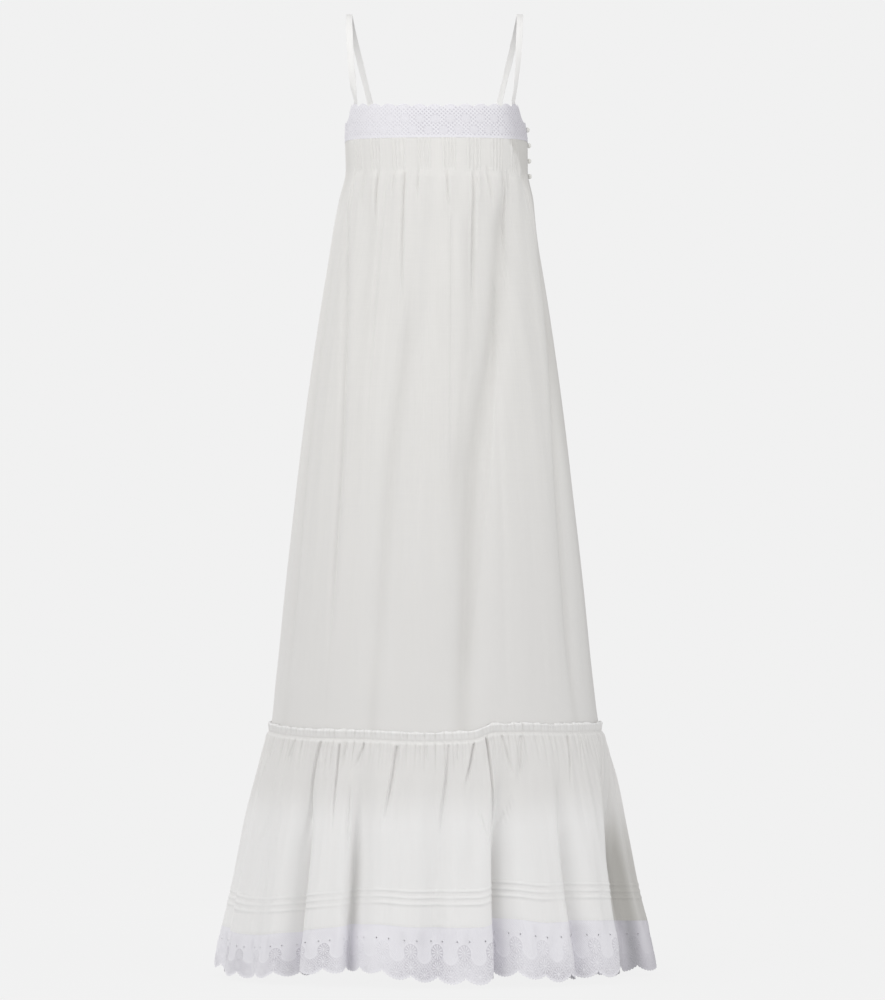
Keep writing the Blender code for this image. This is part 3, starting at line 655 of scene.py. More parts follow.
@dataclass(frozen=True)
class WornForm:
    """The smooth shape of the worn dress, without folds."""

    stations: tuple[Station, ...] = STATIONS

    def at(self, height: Array, name: str) -> Array:
        """One of the outline's sizes at a height."""
        heights = [station.height for station in self.stations]
        return smooth(height, heights, [getattr(station, name) for station in self.stations])

    def ring(self, bearing: Array, height: Array) -> Ring:
        """Points of the outline: a rounded box |x/w|^p + |y/d|^p = 1, with a front and a back depth."""
        half_width, power = self.at(height, "half_width"), self.at(height, "squareness")
        angle = np.radians(bearing)
        side, ahead = np.sin(angle), np.cos(angle)
        depth = np.where(ahead > 0, self.at(height, "front"), self.at(height, "back"))
        swell = (np.abs(side) ** power + np.abs(ahead) ** power) ** (-1 / power)
        x = self.at(height, "sway") + half_width * swell * side
        out_x = np.sign(side) * np.abs(side * swell) ** (power - 1) / half_width
        out_y = -np.sign(ahead) * np.abs(ahead * swell) ** (power - 1) / depth
        length = np.hypot(out_x, out_y)
        travel = np.hypot(half_width * ahead, depth * side)
        return Ring(x, -depth * swell * ahead, out_x / length, out_y / length, travel)

    def placed(self, bearing: Array, height: Array, out: Array, along: Array | float = 0.0) -> Array:
        """Points on the outline at a height, moved out from it and along it."""
        ring = self.ring(bearing, height)
        x = ring.x + ring.out_x * out - ring.out_y * along
        y = ring.y + ring.out_y * out + ring.out_x * along
        return np.stack([x, y, height + 0 * x], -1)


@dataclass(frozen=True)
class NeckEdges:
    """Heights of the neck band's edges by bearing, the same on both sides."""

    bearings: tuple = (0, 35, 64, 82, 95, 125, 180)
    tops: tuple = (-0.1400, -0.1385, -0.1365, -0.1625, -0.1620, -0.1580, -0.1560)
    feet: tuple = (-0.1905, -0.1905, -0.1905, -0.1920, -0.1930, -0.1980, -0.2000)

    def top(self, bearing: Array) -> Array:
        """Height of the top edge."""
        return smooth(np.abs(turned(bearing)), self.bearings, self.tops)

    def foot(self, bearing: Array) -> Array:
        """Height of the foot edge."""
        return smooth(np.abs(turned(bearing)), self.bearings, self.feet)


class Fold(NamedTuple):
    """A soft fold of the skirt: its trough's bearing at four heights, its reach, depth and width."""

    top: float
    upper: float
    lower: float
    low: float
    start: float
    end: float
    depth: float
    width: float


# Rows of degrees, then centimetres down, then tenths of a millimetre.
FOLDS = tuple(Fold(*at, -start / 100, -end / 100, deep / 1e4, wide / 1e4) for *at, start, end, deep, wide in (
    (-72, -71, -70, -66, 30, 106, 60, 300), (-64, -48, -42, -41, 26, 98, 52, 70),
    (-38, -36, -33, -30, 25, 60, 50, 240), (-14, -13, -19, -22, 40, 104, 80, 220),
    (2, 2, 0, -5, 25, 46, 40, 200), (20, 17, 8, 3, 25, 66, 60, 200), (43, 31, 15.5, 9.5, 24, 109, 120, 240),
    (87, 76, 63, 58, 27, 106, 90, 180), (104, 106, 109, 112, 27, 109, 90, 280),
    (131, 133, 135, 139, 25, 92, 80, 260), (157, 158, 161, 166, 24, 109, 110, 280),
    (-176, -177, -178, -174, 25, 74, 60, 220), (-151, -151, -149, -146, 24, 109, 120, 280),
    (-124, -123, -121, -118, 25, 96, 80, 260), (-103, -104, -104, -101, 28, 109, 80, 300),
))


class Pinch(NamedTuple):
    """A narrow crease: bearings of its ends, where it starts and ends, its depth and width.

    The steep side is -1 for the one towards the wearer's right, 1 for the other and 0 for neither.
    """

    top: float
    foot: float
    start: float
    end: float
    depth: float
    width: float
    steep: float = 0.0


STEEPER = 0.5
FULL_UNTIL = 0.42
LIP_SHARE, LIP_WIDTH = 0.30, 2.7


def creases(*rows: tuple) -> tuple[Pinch, ...]:
    """Creases from rows of degrees, millimetres down, tenths of a millimetre and the steep side."""
    return tuple(
        Pinch(top, foot, start / 1000, end / 1000, depth / 1e4, width / 1e4, *steep)
        for top, foot, start, end, depth, width, *steep in rows
    )


def pinched(
    pinches: Sequence[Pinch], bearing: Array, down: Array, travel: Array, begin: float = 0.012
) -> Array:
    """How far in the creases draw the cloth: narrow bells with low lips, fading downwards.

    Args:
        pinches: the creases.
        bearing: place round the body.
        down: place down the cloth.
        travel: the outline's radius of travel there.
        begin: how long a crease takes to reach its depth.
    Returns:
        The depth.
    """
    depth = np.zeros_like(bearing)
    for pinch in pinches:
        share = np.clip((down - pinch.start) / (pinch.end - pinch.start), 0, 1)
        away = np.radians(turned(bearing - pinch.top - turned(pinch.foot - pinch.top) * share)) * travel
        width = pinch.width * (1 - STEEPER * pinch.steep * np.sign(away))
        life = ramp(down - pinch.start, 0.0, begin) * (1 - ramp(share, FULL_UNTIL, 1.0))
        depth += pinch.depth * life * (bell(away, width) - LIP_SHARE * bell(away, LIP_WIDTH * width))
    return depth


@dataclass(frozen=True)
class SkirtFolds:
    """The skirt's long soft folds."""

    folds: tuple[Fold, ...] = FOLDS
    heights: tuple = (-1.06, -0.70, -0.46, -0.25)
    growth: float = 0.10
    fade: float = 0.16
    core: float = 0.30
    core_width: float = 0.36

    def depth(self, form: WornForm, bearing: Array, height: Array, later: float = 0.0) -> Array:
        """How far in the folds draw the cloth: a wide bell and a narrow one across each, growing and fading.

        Args:
            form: the shape without folds.
            bearing: place round the body.
            height: height of the place.
            later: how much lower than their ends the folds reach.
        Returns:
            The depth.
        """
        travel = form.ring(bearing, height).travel
        depth = np.zeros_like(bearing)
        for fold in self.folds:
            trough = smooth(height, self.heights, (fold.low, fold.lower, fold.upper, fold.top))
            away = np.radians(turned(bearing - trough)) * travel
            begun = ramp(-height, -fold.start, -fold.start + self.growth)
            lasting = ramp(height + later, fold.end, fold.end + self.fade)
            wide, narrow = bell(away, fold.width), bell(away, fold.width * self.core_width)
            depth += fold.depth * begun * lasting * (wide * (1 - self.core) + narrow * self.core)
        return depth


# ---- body panels


@dataclass(frozen=True)
class Seams:
    """Distances that the panels share, in metres, and how far lines hang below level, in millimetres."""

    gap: float = 0.0003
    cloth: float = 0.0012
    stitch_line: float = -1.0760
    hem: float = 0.3510
    lace_seam: float = 0.2740
    bearings: tuple = (-180, -120, -90, -60, -42, -30, -18, -6, 12, 21, 32, 45, 90, 130, 180)
    stitch_drops: tuple = (2, 0, -3, 1, 3, 3, 4, 6, 4, -7, -7, -5, -3, 1, 2)
    hem_drops: tuple = (0, 3, 2, 10, 2, -4, -7, 5, 10, 0, 9, 6, 8, 3, 0)
    sag_bearings: tuple = (-180, -130, -90, -57, -33, -20, -8, 6, 31, 50, 90, 130, 180)
    sags: tuple = (0, 5, 13, 12, 7, 3, -4, -7, -9, -7, 2, 4, 0)

    def stitch_drop(self, bearing: Array) -> Array:
        """How far the stitch line hangs below level."""
        return smooth(turned(bearing), self.bearings, self.stitch_drops) / 1000

    def hem_drop(self, bearing: Array) -> Array:
        """How far the hem hangs below level."""
        return smooth(turned(bearing), self.bearings, self.hem_drops) / 1000

    def sag(self, bearing: Array) -> Array:
        """How far the tucks and the seam to the lace hang below their even places."""
        return smooth(turned(bearing), self.sag_bearings, self.sags) / 1000


@dataclass(frozen=True)
class PinTucks:
    """Groups of stitched vertical tucks, and the fullness that they let out below."""

    groups: int = 8
    in_group: int = 4
    pitch: float = 2.35
    span: float = 62.0
    height: float = 0.0009
    end: float = -0.236
    release_end: float = -0.335
    release_height: float = 0.0034
    profile: tuple = (0.12, 0.62, 0.66, 0.84)
    uneven_end: float = 0.0022

    def centres(self) -> Array:
        """Bearings of the groups, from the middle of the panel."""
        edge = self.span * (1 - 1 / self.groups)
        return np.linspace(-edge, edge, self.groups)

    def relief(self, facing: Array, height: Array) -> Array:
        """Height of tucks and puffs: each tuck rises slowly and drops sharply, lying to the side.

        Args:
            facing: bearing from the middle of the panel.
            height: height of the point.
        Returns:
            How far the cloth stands out.
        """
        nearest = self.centres()[np.abs(facing[..., None] - self.centres()).argmin(-1)]
        across = (facing - nearest) / self.pitch
        in_group = np.abs(across) <= self.in_group / 2 + 0.02
        place = (across * np.sign(nearest) + self.in_group / 2) % 1.0
        crest = within(place, *self.profile)
        wobble = self.uneven_end * uneven(facing, 150, 5)
        ridge = self.height * in_group * crest * ramp(height + wobble, self.end - 0.006, self.end + 0.003)
        life = ramp(-height, -self.end, -self.end + 0.014) * ramp(height, self.release_end, self.end)
        share = np.clip(np.abs(facing - nearest) / (self.span / self.groups), 0, 1)
        return ridge + self.release_height * life * (0.5 + 0.5 * np.cos(np.pi * share))


FRONT_PINCHES = creases(
    (-36.8, -34.2, 234, 340, 42, 25, 1), (-25.5, -26.5, 234, 285, 22, 22), (-19.6, -15.5, 236, 480, 40, 26, 1),
    (-11, -11, 234, 290, 26, 22, 1), (5.8, 7, 234, 310, 34, 22, -1), (22.2, 17.6, 236, 500, 44, 26, -1),
    (24, 24.5, 232, 284, 32, 23), (31.5, 33.5, 230, 300, 34, 24, -1), (44.6, 37, 233, 470, 44, 34, 1),
    (47.4, 46, 232, 290, 32, 24), (51, 67, 196, 290, 46, 34, -1), (62.5, 71, 236, 390, 60, 42, -1),
    (70, 72, 236, 380, 40, 34), (-48, -47, 232, 310, 26, 26), (-58, -56, 232, 320, 28, 26),
    (-4, -8, 420, 900, 16, 50), (-31, -30, 250, 700, 18, 40, 1), (9, 6, 300, 800, 18, 40, -1),
    (33.5, 7.5, 400, 1060, 36, 60, 1), (29, 26, 560, 1040, 16, 60),
)
BACK_PINCHES = creases(
    (-163, -160, 236, 360, 46, 30), (-154, -155, 238, 300, 26, 24), (-143, -140, 234, 400, 52, 32),
    (-132, -131, 238, 300, 28, 24), (-124, -121, 236, 330, 34, 28), (-172, -174, 238, 310, 30, 26),
    (176, 177, 238, 290, 26, 23), (165, 162, 234, 390, 50, 30), (155, 156, 238, 300, 26, 24),
    (144, 141, 236, 350, 42, 28), (134, 131, 234, 420, 48, 32), (123, 121, 236, 320, 30, 26),
    (150, 140, 300, 960, 16, 30),
)


@dataclass(frozen=True)
class Skirt:
    """One long body panel, pin-tucked under the neck band."""

    half: Half
    form: WornForm = WornForm()
    folds: SkirtFolds = SkirtFolds()
    edges: NeckEdges = NeckEdges()
    seams: Seams = Seams()
    tucks: PinTucks = PinTucks()
    tucked_under_band: float = 0.006
    lap_in_tier: float = 0.004
    columns: int = 480
    rows: tuple = (
        (0.0, 0.0048, 2), (0.0048, 0.006, 2), (0.006, 0.046, 8), (0.046, 0.076, 12), (0.076, 0.170, 17),
        (0.170, 0.780, 46),
    )
    low_rows: int = 10
    sewn_from: float = 0.0085
    sewn_to: float = 0.050
    holes: int = 16
    # Ranges of the painted shade: by both sides, under the arms, at the waist, beyond the left crease's lip and
    # in the folds.
    left_side: tuple = (66.0, 80.0, 96.0, 112.0)
    right_side: tuple = (60.0, 72.0, 96.0, 112.0)
    under_arm: tuple = (0.250, 0.310)
    waist: tuple = (0.42, 0.50, 0.60, 0.72)
    lip_heights: tuple = (-0.317, -0.273, -0.236, -0.207, -0.194)
    lip_bearings: tuple = (70.0, 66.5, 61.0, 53.0, 47.0)
    lip_fade: tuple = (0.225, 0.300)
    fold_depths: tuple = (0.0020, 0.0135)

    def height(self, bearing: Array, fall: Array) -> Array:
        """Height of a point that far down; the fall is measured on the middle and shared out elsewhere."""
        top = self.edges.foot(bearing) + self.tucked_under_band
        low = self.seams.stitch_line - self.seams.stitch_drop(bearing) - self.lap_in_tier
        return top + fall / self.length * (low - top)

    @property
    def length(self) -> float:
        """The panel's finished length at the middle."""
        return self.edges.feet[0] + self.tucked_under_band - self.seams.stitch_line + self.lap_in_tier

    def surface(self, bearing: Array, fall: Array) -> Array:
        """The panel's face: tucks and puffs out, folds and creases in, with uneven soft drape lines."""
        height = self.height(bearing, fall)
        facing = turned(bearing - self.half.value)
        travel = self.form.ring(bearing, height).travel
        pinches = FRONT_PINCHES if self.half is Half.FRONT else BACK_PINCHES
        free = ramp(-height, 0.240, 0.330) * ramp(height, -1.068, -0.980)
        drape = 0.0010 * mottled(bearing, -height, 52, 0.30, 11)
        drape += 0.0002 * mottled(bearing, -height, 150, 0.16, 12)
        under_band = 1 - ramp(fall, self.tucked_under_band - 0.0012, self.tucked_under_band)
        out = self.tucks.relief(facing, height) * (1 - under_band) - 0.0005 * under_band
        out = out - self.folds.depth(self.form, bearing, height) + drape * free
        return self.form.placed(bearing, height, out - pinched(pinches, bearing, -height, travel))

    def shaded(self, bearing: Array, height: Array) -> Array:
        """How much less light the cloth gets: in its folds, under the arms and beyond the left crease."""
        side = turned(bearing)
        near_left, near_right = within(side, *self.left_side), within(-side, *self.right_side)
        under_arm = 1 - ramp(-height, *self.under_arm)
        waist = within(-height, *self.waist)
        beyond = ramp(side - smooth(height, self.lip_heights, self.lip_bearings), -0.5, 3.0)
        beyond = beyond * (1 - ramp(side, *self.left_side[2:])) * (1 - ramp(-height, *self.lip_fade))
        folded = 0.34 * ramp(self.folds.depth(self.form, bearing, height, 0.17), *self.fold_depths)
        left = np.maximum(near_left * (0.26 + 0.50 * under_arm + 0.20 * waist), 0.62 * beyond)
        return folded + left + 0.30 * near_right * under_arm

    def bearings(self, falls: Array) -> Array:
        """Columns that crowd round the tucks at the top and spread out evenly below."""
        shares = np.linspace(0, 1, self.columns + 1)
        dense = np.linspace(-SIDE_SEAM, SIDE_SEAM, 4000)
        near = np.abs(dense[:, None] - self.tucks.centres()).min(1)
        weight = 1 + 1.9 * (near < self.tucks.in_group * self.tucks.pitch / 2 + 0.6)
        run = np.concatenate([[0], np.cumsum((weight[1:] + weight[:-1]) / 2)])
        tucked = np.interp(shares * run[-1], run, dense)
        plain = -SIDE_SEAM + 2 * SIDE_SEAM * shares
        mix = ramp(falls, 0.10, 0.35)[:, None]
        return self.half.value + tucked * (1 - mix) + plain * mix

    def build(self) -> bpy.types.Object:
        falls = stepped(*self.rows, (self.rows[-1][1], self.length, self.low_rows))
        across = self.bearings(falls)
        down = np.repeat(falls[:, None], across.shape[1], axis=1)
        height = self.height(across, down)
        run = travelled(self.form.placed(across, height, 0.0)[-1])
        cloth = np.stack([np.repeat((run - run[-1] / 2)[None], len(falls), 0), -down], -1)
        name = f"body_panel_{self.half.label}"
        panel = ClothMesh.from_grid(self.surface(across, down), cloth, self.shaded(across, height))
        made = panel.make(name, Voile())
        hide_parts(f"skirt_{self.half.label}")
        f"neck_lace_{self.half.label}"
        self.sew(name)
        return made

    def sew(self, name: str) -> None:
        """Lays a row of small stitches along each pin tuck."""
        down = np.linspace(self.sewn_from, self.sewn_to, self.holes)
        offsets = (np.arange(self.tucks.in_group) - (self.tucks.in_group - 1) / 2) * self.tucks.pitch
        rows = [
            (np.full_like(down, self.half.value + centre + offset - 0.31 * self.tucks.pitch), down, 0.0)
            for centre in self.tucks.centres() for offset in offsets
        ]
        made = sewn(self.surface, rows, 0.00030, 0.7).make(f"{name}_tuck_stitches", Thread())
        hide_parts(f"skirt_{self.half.label}")


# ---- gathered tier


class Groove(NamedTuple):
    """A groove between two flutes: its bearing at the stitch line and the hem, depth, width and lean.

    A shelf is the share of the depth that it keeps from there on towards the side.
    """

    top: float
    hem: float
    depth: float
    width: float
    lean: float
    shelf: float = 0.0


# Rows of degrees, then millimetres, then the lean and the shelf.
GROOVES = tuple(Groove(top, hem, deep / 1000, wide / 1000, *rest) for top, hem, deep, wide, *rest in (
    (-166, -163, 34, 17, 0.35), (-144, -143, 25, 18, -0.3), (-121, -122, 34, 18, 0.3),
    (-99, -102, 24, 20, -0.25), (-80, -78, 11, 24, 0), (-61, -57, 9, 26, 0), (-45, -42, 36, 17, 0.4),
    (-23, -21, 33, 16, -0.4), (4, -1, 14, 19, 0), (23, 19, 38, 16, -0.45), (45, 43, 31, 16, -0.4),
    (74, 62, 50, 20, -0.45, 0.9), (99, 96, 26, 19, 0.3), (119, 118, 33, 18, -0.3), (139, 141, 24, 19, 0.25),
    (161, 160, 36, 17, -0.35), (180, 180, 18, 22, 0),
))
TIER_PINCHES = creases(
    (-82, -80, 5, 70, 46, 30), (-70, -76, 5, 120, 46, 40, 1), (-63, -62, 5, 40, 36, 26),
    (-55, -57.5, 3, 46, 62, 26, -1), (-50.5, -50, 3, 26, 30, 22), (-60, -66, 110, 185, 42, 34, 1),
    (-41.8, -46.6, 3, 185, 112, 38, -1), (-39.5, -39.8, 3, 36, 44, 24), (-33.4, -31.4, 6, 150, 104, 29, 1),
    (-30.6, -31.4, 3, 42, 46, 26), (-24.2, -27, 3, 50, 66, 28, -1), (-19, -19.2, 3, 22, 34, 22),
    (-13, -15.6, 6, 145, 108, 46, -1), (-11.2, -11.2, 3, 20, 32, 22), (-5, -5, 3, 46, 28, 24),
    (-2.6, -2.8, 3, 36, 44, 26, 1), (-27.6, -25.6, 72, 200, 60, 38, -1), (4.3, 0.6, 3, 170, 76, 36, -1),
    (7.4, 6.6, 3, 46, 36, 26), (13, 8.2, 2, 82, 104, 28, -1), (17.2, 19.4, 1, 200, 112, 32, -1),
    (18.8, 18.9, 2, 20, 34, 22), (23, 26, 2, 72, 70, 30), (30.6, 26.6, 3, 86, 88, 48, 1),
    (13.6, 17, 104, 170, 44, 32), (25.2, 21.2, 94, 150, 62, 34, 1), (36.5, 36.5, 3, 30, 26, 24),
    (42.6, 43, 80, 230, 70, 46, -1), (50.7, 47.2, 2, 84, 96, 28, -1), (57.6, 54.8, 3, 62, 52, 30),
    (62, 60, 3, 30, 36, 26), (74.3, 66, 2, 190, 120, 44, -1), (82, 76, 4, 440, 112, 60, -1),
    (70, 68, 100, 520, 110, 60, 1), (79, 82, 120, 540, 120, 64), (88, 86, 20, 430, 100, 56, 1),
    (96, 95, 4, 120, 66, 34, 1), (104, 105.5, 4, 50, 46, 28), (112, 111, 4, 100, 62, 32, -1),
    (121, 118, 3, 170, 104, 36, 1), (129, 130.5, 4, 50, 50, 28), (137, 140.5, 3, 150, 82, 34, -1),
    (146, 145, 4, 40, 42, 26), (153.5, 151, 4, 90, 60, 30, 1), (161, 159, 3, 190, 108, 38, 1),
    (169, 171.5, 4, 60, 50, 28), (177, 178.5, 4, 120, 66, 32, -1), (-174, -175.5, 4, 50, 44, 26),
    (-165, -162.5, 3, 180, 106, 38, -1), (-156, -157.5, 4, 70, 54, 30, 1), (-149, -148, 4, 44, 40, 26),
    (-143, -144, 3, 150, 88, 34, 1), (-134, -132, 4, 80, 56, 30), (-127, -126, 4, 40, 38, 24),
    (-120, -122.5, 3, 170, 100, 36, -1), (-110, -108.5, 4, 70, 52, 30), (-100, -102.5, 4, 140, 74, 34, 1),
    (-92.5, -92, 4, 50, 42, 28),
)


@dataclass(frozen=True)
class TierForm:
    """The gathered tier's shape from its heading to the foot of its lace."""

    form: WornForm = WornForm()
    folds: SkirtFolds = SkirtFolds()
    seams: Seams = Seams()
    heading: float = 0.0140
    flare: float = 0.0016
    lean: float = 1.25
    core: float = 0.38
    core_width: float = 0.70
    deeper: float = 1.04
    crease: float = 0.56
    slim: float = 0.60
    gathers: int = 56
    ticks: int = 118
    gather_height: float = 0.0017
    tick_height: float = 0.0013
    # Where painted shade goes: deep between the flutes, and behind the left flute.
    painted_shade_depths: tuple = (0.016, 0.052)
    behind_flute: tuple = (61.0, 66.0, 80.0, 104.0)
    behind_falls: tuple = (0.060, 0.210)
    thread_line: float = 0.0006
    puff: float = 0.0004
    puff_at: float = 0.0036
    curl: float = 0.0020

    def height(self, bearing: Array, fall: Array) -> Array:
        """Height of a point that far below the stitch line."""
        share = np.clip(fall / self.seams.hem, 0, 1)
        hang = self.seams.stitch_drop(bearing) * (1 - share) + self.seams.hem_drop(bearing) * share
        low = within(fall, 0.120, 0.222, 0.278, self.seams.hem)
        return self.seams.stitch_line - fall - hang - self.seams.sag(bearing) * low

    def draped(self, bearing: Array, fall: Array, extra: Array | float) -> Array:
        """The tier with its flutes, and an extra height on its face.

        Each groove draws the cloth in by a bell across it, and leans it aside by a part of that.
        """
        height = self.height(bearing, fall)
        travel = self.form.ring(bearing, height).travel
        out = self.seams.cloth + self.seams.gap + extra
        out = out + self.flare * ramp(-fall, 0.0, self.heading)
        out = out - self.folds.depth(self.form, bearing, height) * (1 - ramp(fall, 0.010, 0.16))
        dip, along = self.grooved(bearing, fall, travel)
        return self.form.placed(bearing, height, out - dip, along)

    def grooved(self, bearing: Array, fall: Array, travel: Array) -> tuple[Array, Array]:
        """How far in and how far aside the grooves draw the cloth: a wide bell with a narrow one in it.

        Args:
            bearing: place round the body.
            fall: distance below the stitch line.
            travel: the outline's radius of travel there.
        Returns:
            The depth and the shift.
        """
        dip, along = np.zeros_like(bearing), np.zeros_like(bearing)
        reach = ramp(fall, 0.010, 0.200) * (0.62 + 0.38 * np.clip(fall / self.seams.hem, 0, 1)) * self.deeper
        for groove in GROOVES:
            trough = groove.top + turned(groove.hem - groove.top) * np.clip(fall / self.seams.hem, 0, 1)
            beyond = turned(bearing - trough)
            away = (np.radians(beyond) * travel / groove.width) ** 2
            dent = np.exp(-away) * (1 - self.core) + np.exp(-away / self.core_width**2) * self.core
            shelf = groove.shelf * (beyond > 0) * (1 - ramp(np.abs(turned(bearing)), 79.0, 89.5))
            dip = dip + groove.depth * reach * np.maximum(dent, shelf)
            along = along + self.lean * groove.lean * groove.depth * reach * dent
        return dip, along

    def painted_shade(self, bearing: Array, fall: Array) -> Array:
        """Painted shade by how deep between two flutes a place lies: 0 on their crests, to 1 and over behind
        the left flute, with streaks.
        """
        side = turned(bearing)
        travel = self.form.ring(bearing, self.height(bearing, fall)).travel
        deep = ramp(self.grooved(bearing, fall, travel)[0], *self.painted_shade_depths)
        # Painted shade behind the left flute, streaked.
        behind = within(side, *self.behind_flute) * ramp(fall, *self.behind_falls)
        streaked = 1.62 - 0.36 * ramp(side, 65.0, 84.0) + 0.34 * uneven(bearing, 130, 45)
        streaked = streaked + 0.26 * mottled(bearing, fall, 100, 0.10, 46)
        return np.maximum(0.50 * deep, streaked * behind)

    def tone(self, bearing: Array, fall: Array) -> Array:
        """Painted shade between the flutes and in the valleys of the gathers, less a painted highlight on the
        heading, its rim, a line below the stitch and the crests of the gathers.
        """
        ridge, tick = self.crests(bearing)
        crest = 0.45 * ridge + 0.55 * tick
        # Painted highlights on the heading's rim, the heading and a line below the stitch; painted shade in the
        # gathers' valleys.
        rim = ramp(-fall, self.heading - 0.0040, self.heading - 0.0015) * (0.26 + 0.36 * crest)
        heading = ramp(-fall, 0.0010, 0.0050) * (0.10 + 0.45 * crest**2)
        line = bell(fall - 0.0034, 0.0010) * (0.36 * crest)
        valley = 0.50 * (1 - crest) ** 2 * ramp(np.abs(fall), 0.001, 0.006) * (1 - ramp(fall, 0.018, 0.056))
        return self.painted_shade(bearing, fall) + valley - heading - rim - line

    def plain(self, bearing: Array, fall: Array) -> Array:
        """The tier with its flutes alone."""
        return self.draped(bearing, fall, 0.0)

    def crests(self, bearing: Array) -> tuple[Array, Array]:
        """Heights from 0 to 1 of the gathers and of the finer ticks between them, unevenly spaced."""
        warp = 0.36 * uneven(bearing, 62, 21) + 0.14 * uneven(bearing, 170, 22)
        turns = (bearing + 90.0) / 180.0
        settle = ramp(np.abs(turned(bearing * 2) / 2), 0, 6)
        ridge = np.abs(np.sin(np.pi * (turns * self.gathers + warp * settle))) ** 0.75
        tick = np.abs(np.sin(np.pi * (turns * self.ticks + 2.1 * warp * settle))) ** 0.7
        return ridge, tick

    def gathered(self, bearing: Array, fall: Array) -> Array:
        """Relief of the gathers: round ridges with sharp valleys, fading downwards."""
        ridge, tick = self.crests(bearing)
        opening = 0.45 + 0.75 * ramp(-fall, 0.0, self.heading) + 0.75 * ramp(fall, 0.0, 0.007)
        sizes = 0.92 + 0.45 * uneven(bearing, 90, 23)
        fade = 0.054 + 0.026 * uneven(bearing, 74, 24)
        short = 0.019 + 0.009 * uneven(bearing, 101, 25)
        main = self.gather_height * ridge * sizes * (1 - ramp(fall / fade, 0.20, 1.0))
        fine = self.tick_height * tick * (1 - ramp(fall / short, 0.15, 1.0))
        return (main + fine * (0.75 + 0.5 * uneven(bearing, 140, 26))) * opening

    def detail(self, bearing: Array, fall: Array) -> Array:
        """Everything on the tier's face that is finer than its flutes.

        The gathering thread draws in a line, and the cloth puffs out above and below it.
        """
        travel = self.form.ring(bearing, self.height(bearing, fall)).travel
        below = ramp(fall, 0.012, 0.070)
        billow = 0.0016 * mottled(bearing, fall, 84, 0.11, 31) + 0.0007 * mottled(bearing, fall, 190, 0.07, 32)
        line = self.thread_line * bell(fall, 0.0011)
        puffs = self.puff * (bell(fall - self.puff_at, 0.0022) + bell(fall + self.puff_at, 0.0022))
        curl = self.curl * ramp(-fall, self.heading - 0.0030, self.heading)
        slim = [pinch._replace(width=pinch.width * self.slim) for pinch in TIER_PINCHES]
        crease = self.crease * pinched(slim, bearing, fall, travel, 0.005)
        return self.gathered(bearing, fall) + billow * below + puffs - line - curl - crease

    def fine(self, bearing: Array, fall: Array) -> Array:
        """The tier with its flutes, gathers and creases."""
        return self.draped(bearing, fall, self.detail(bearing, fall))


class ClothRun:
    """Where equal shares of the tier's own cloth lie, between two side seams."""

    falls = np.array([-0.012, 0.03, 0.08, 0.12, 0.16, 0.20, 0.24, 0.274, 0.31, 0.352])
    shares = np.linspace(0, 1, 1201)

    def __init__(self, tier: TierForm, half: Half) -> None:
        """Measures the cloth along the folds at several distances down."""
        dense = half.value + np.linspace(-SIDE_SEAM, SIDE_SEAM, 2400)
        runs = [travelled(tier.plain(dense, np.full_like(dense, fall))) for fall in self.falls]
        self.table = np.array([np.interp(self.shares * run[-1], run, dense) for run in runs])
        self.width = max(run[-1] for run in runs)

    def bearing(self, share: Array, fall: Array) -> Array:
        """The bearing of a share of the cloth, straight between the measured places."""
        row = np.clip(np.searchsorted(self.falls, fall) - 1, 0, len(self.falls) - 2)
        u = np.clip((fall - self.falls[row]) / (self.falls[row + 1] - self.falls[row]), 0, 1)
        at = np.clip(share, 0, 1) * (len(self.shares) - 1)
        column = np.clip(at.astype(int), 0, len(self.shares) - 2)
        t = at - column
        high = self.table[row, column] * (1 - t) + self.table[row, column + 1] * t
        low = self.table[row + 1, column] * (1 - t) + self.table[row + 1, column + 1] * t
        return high * (1 - u) + low * u


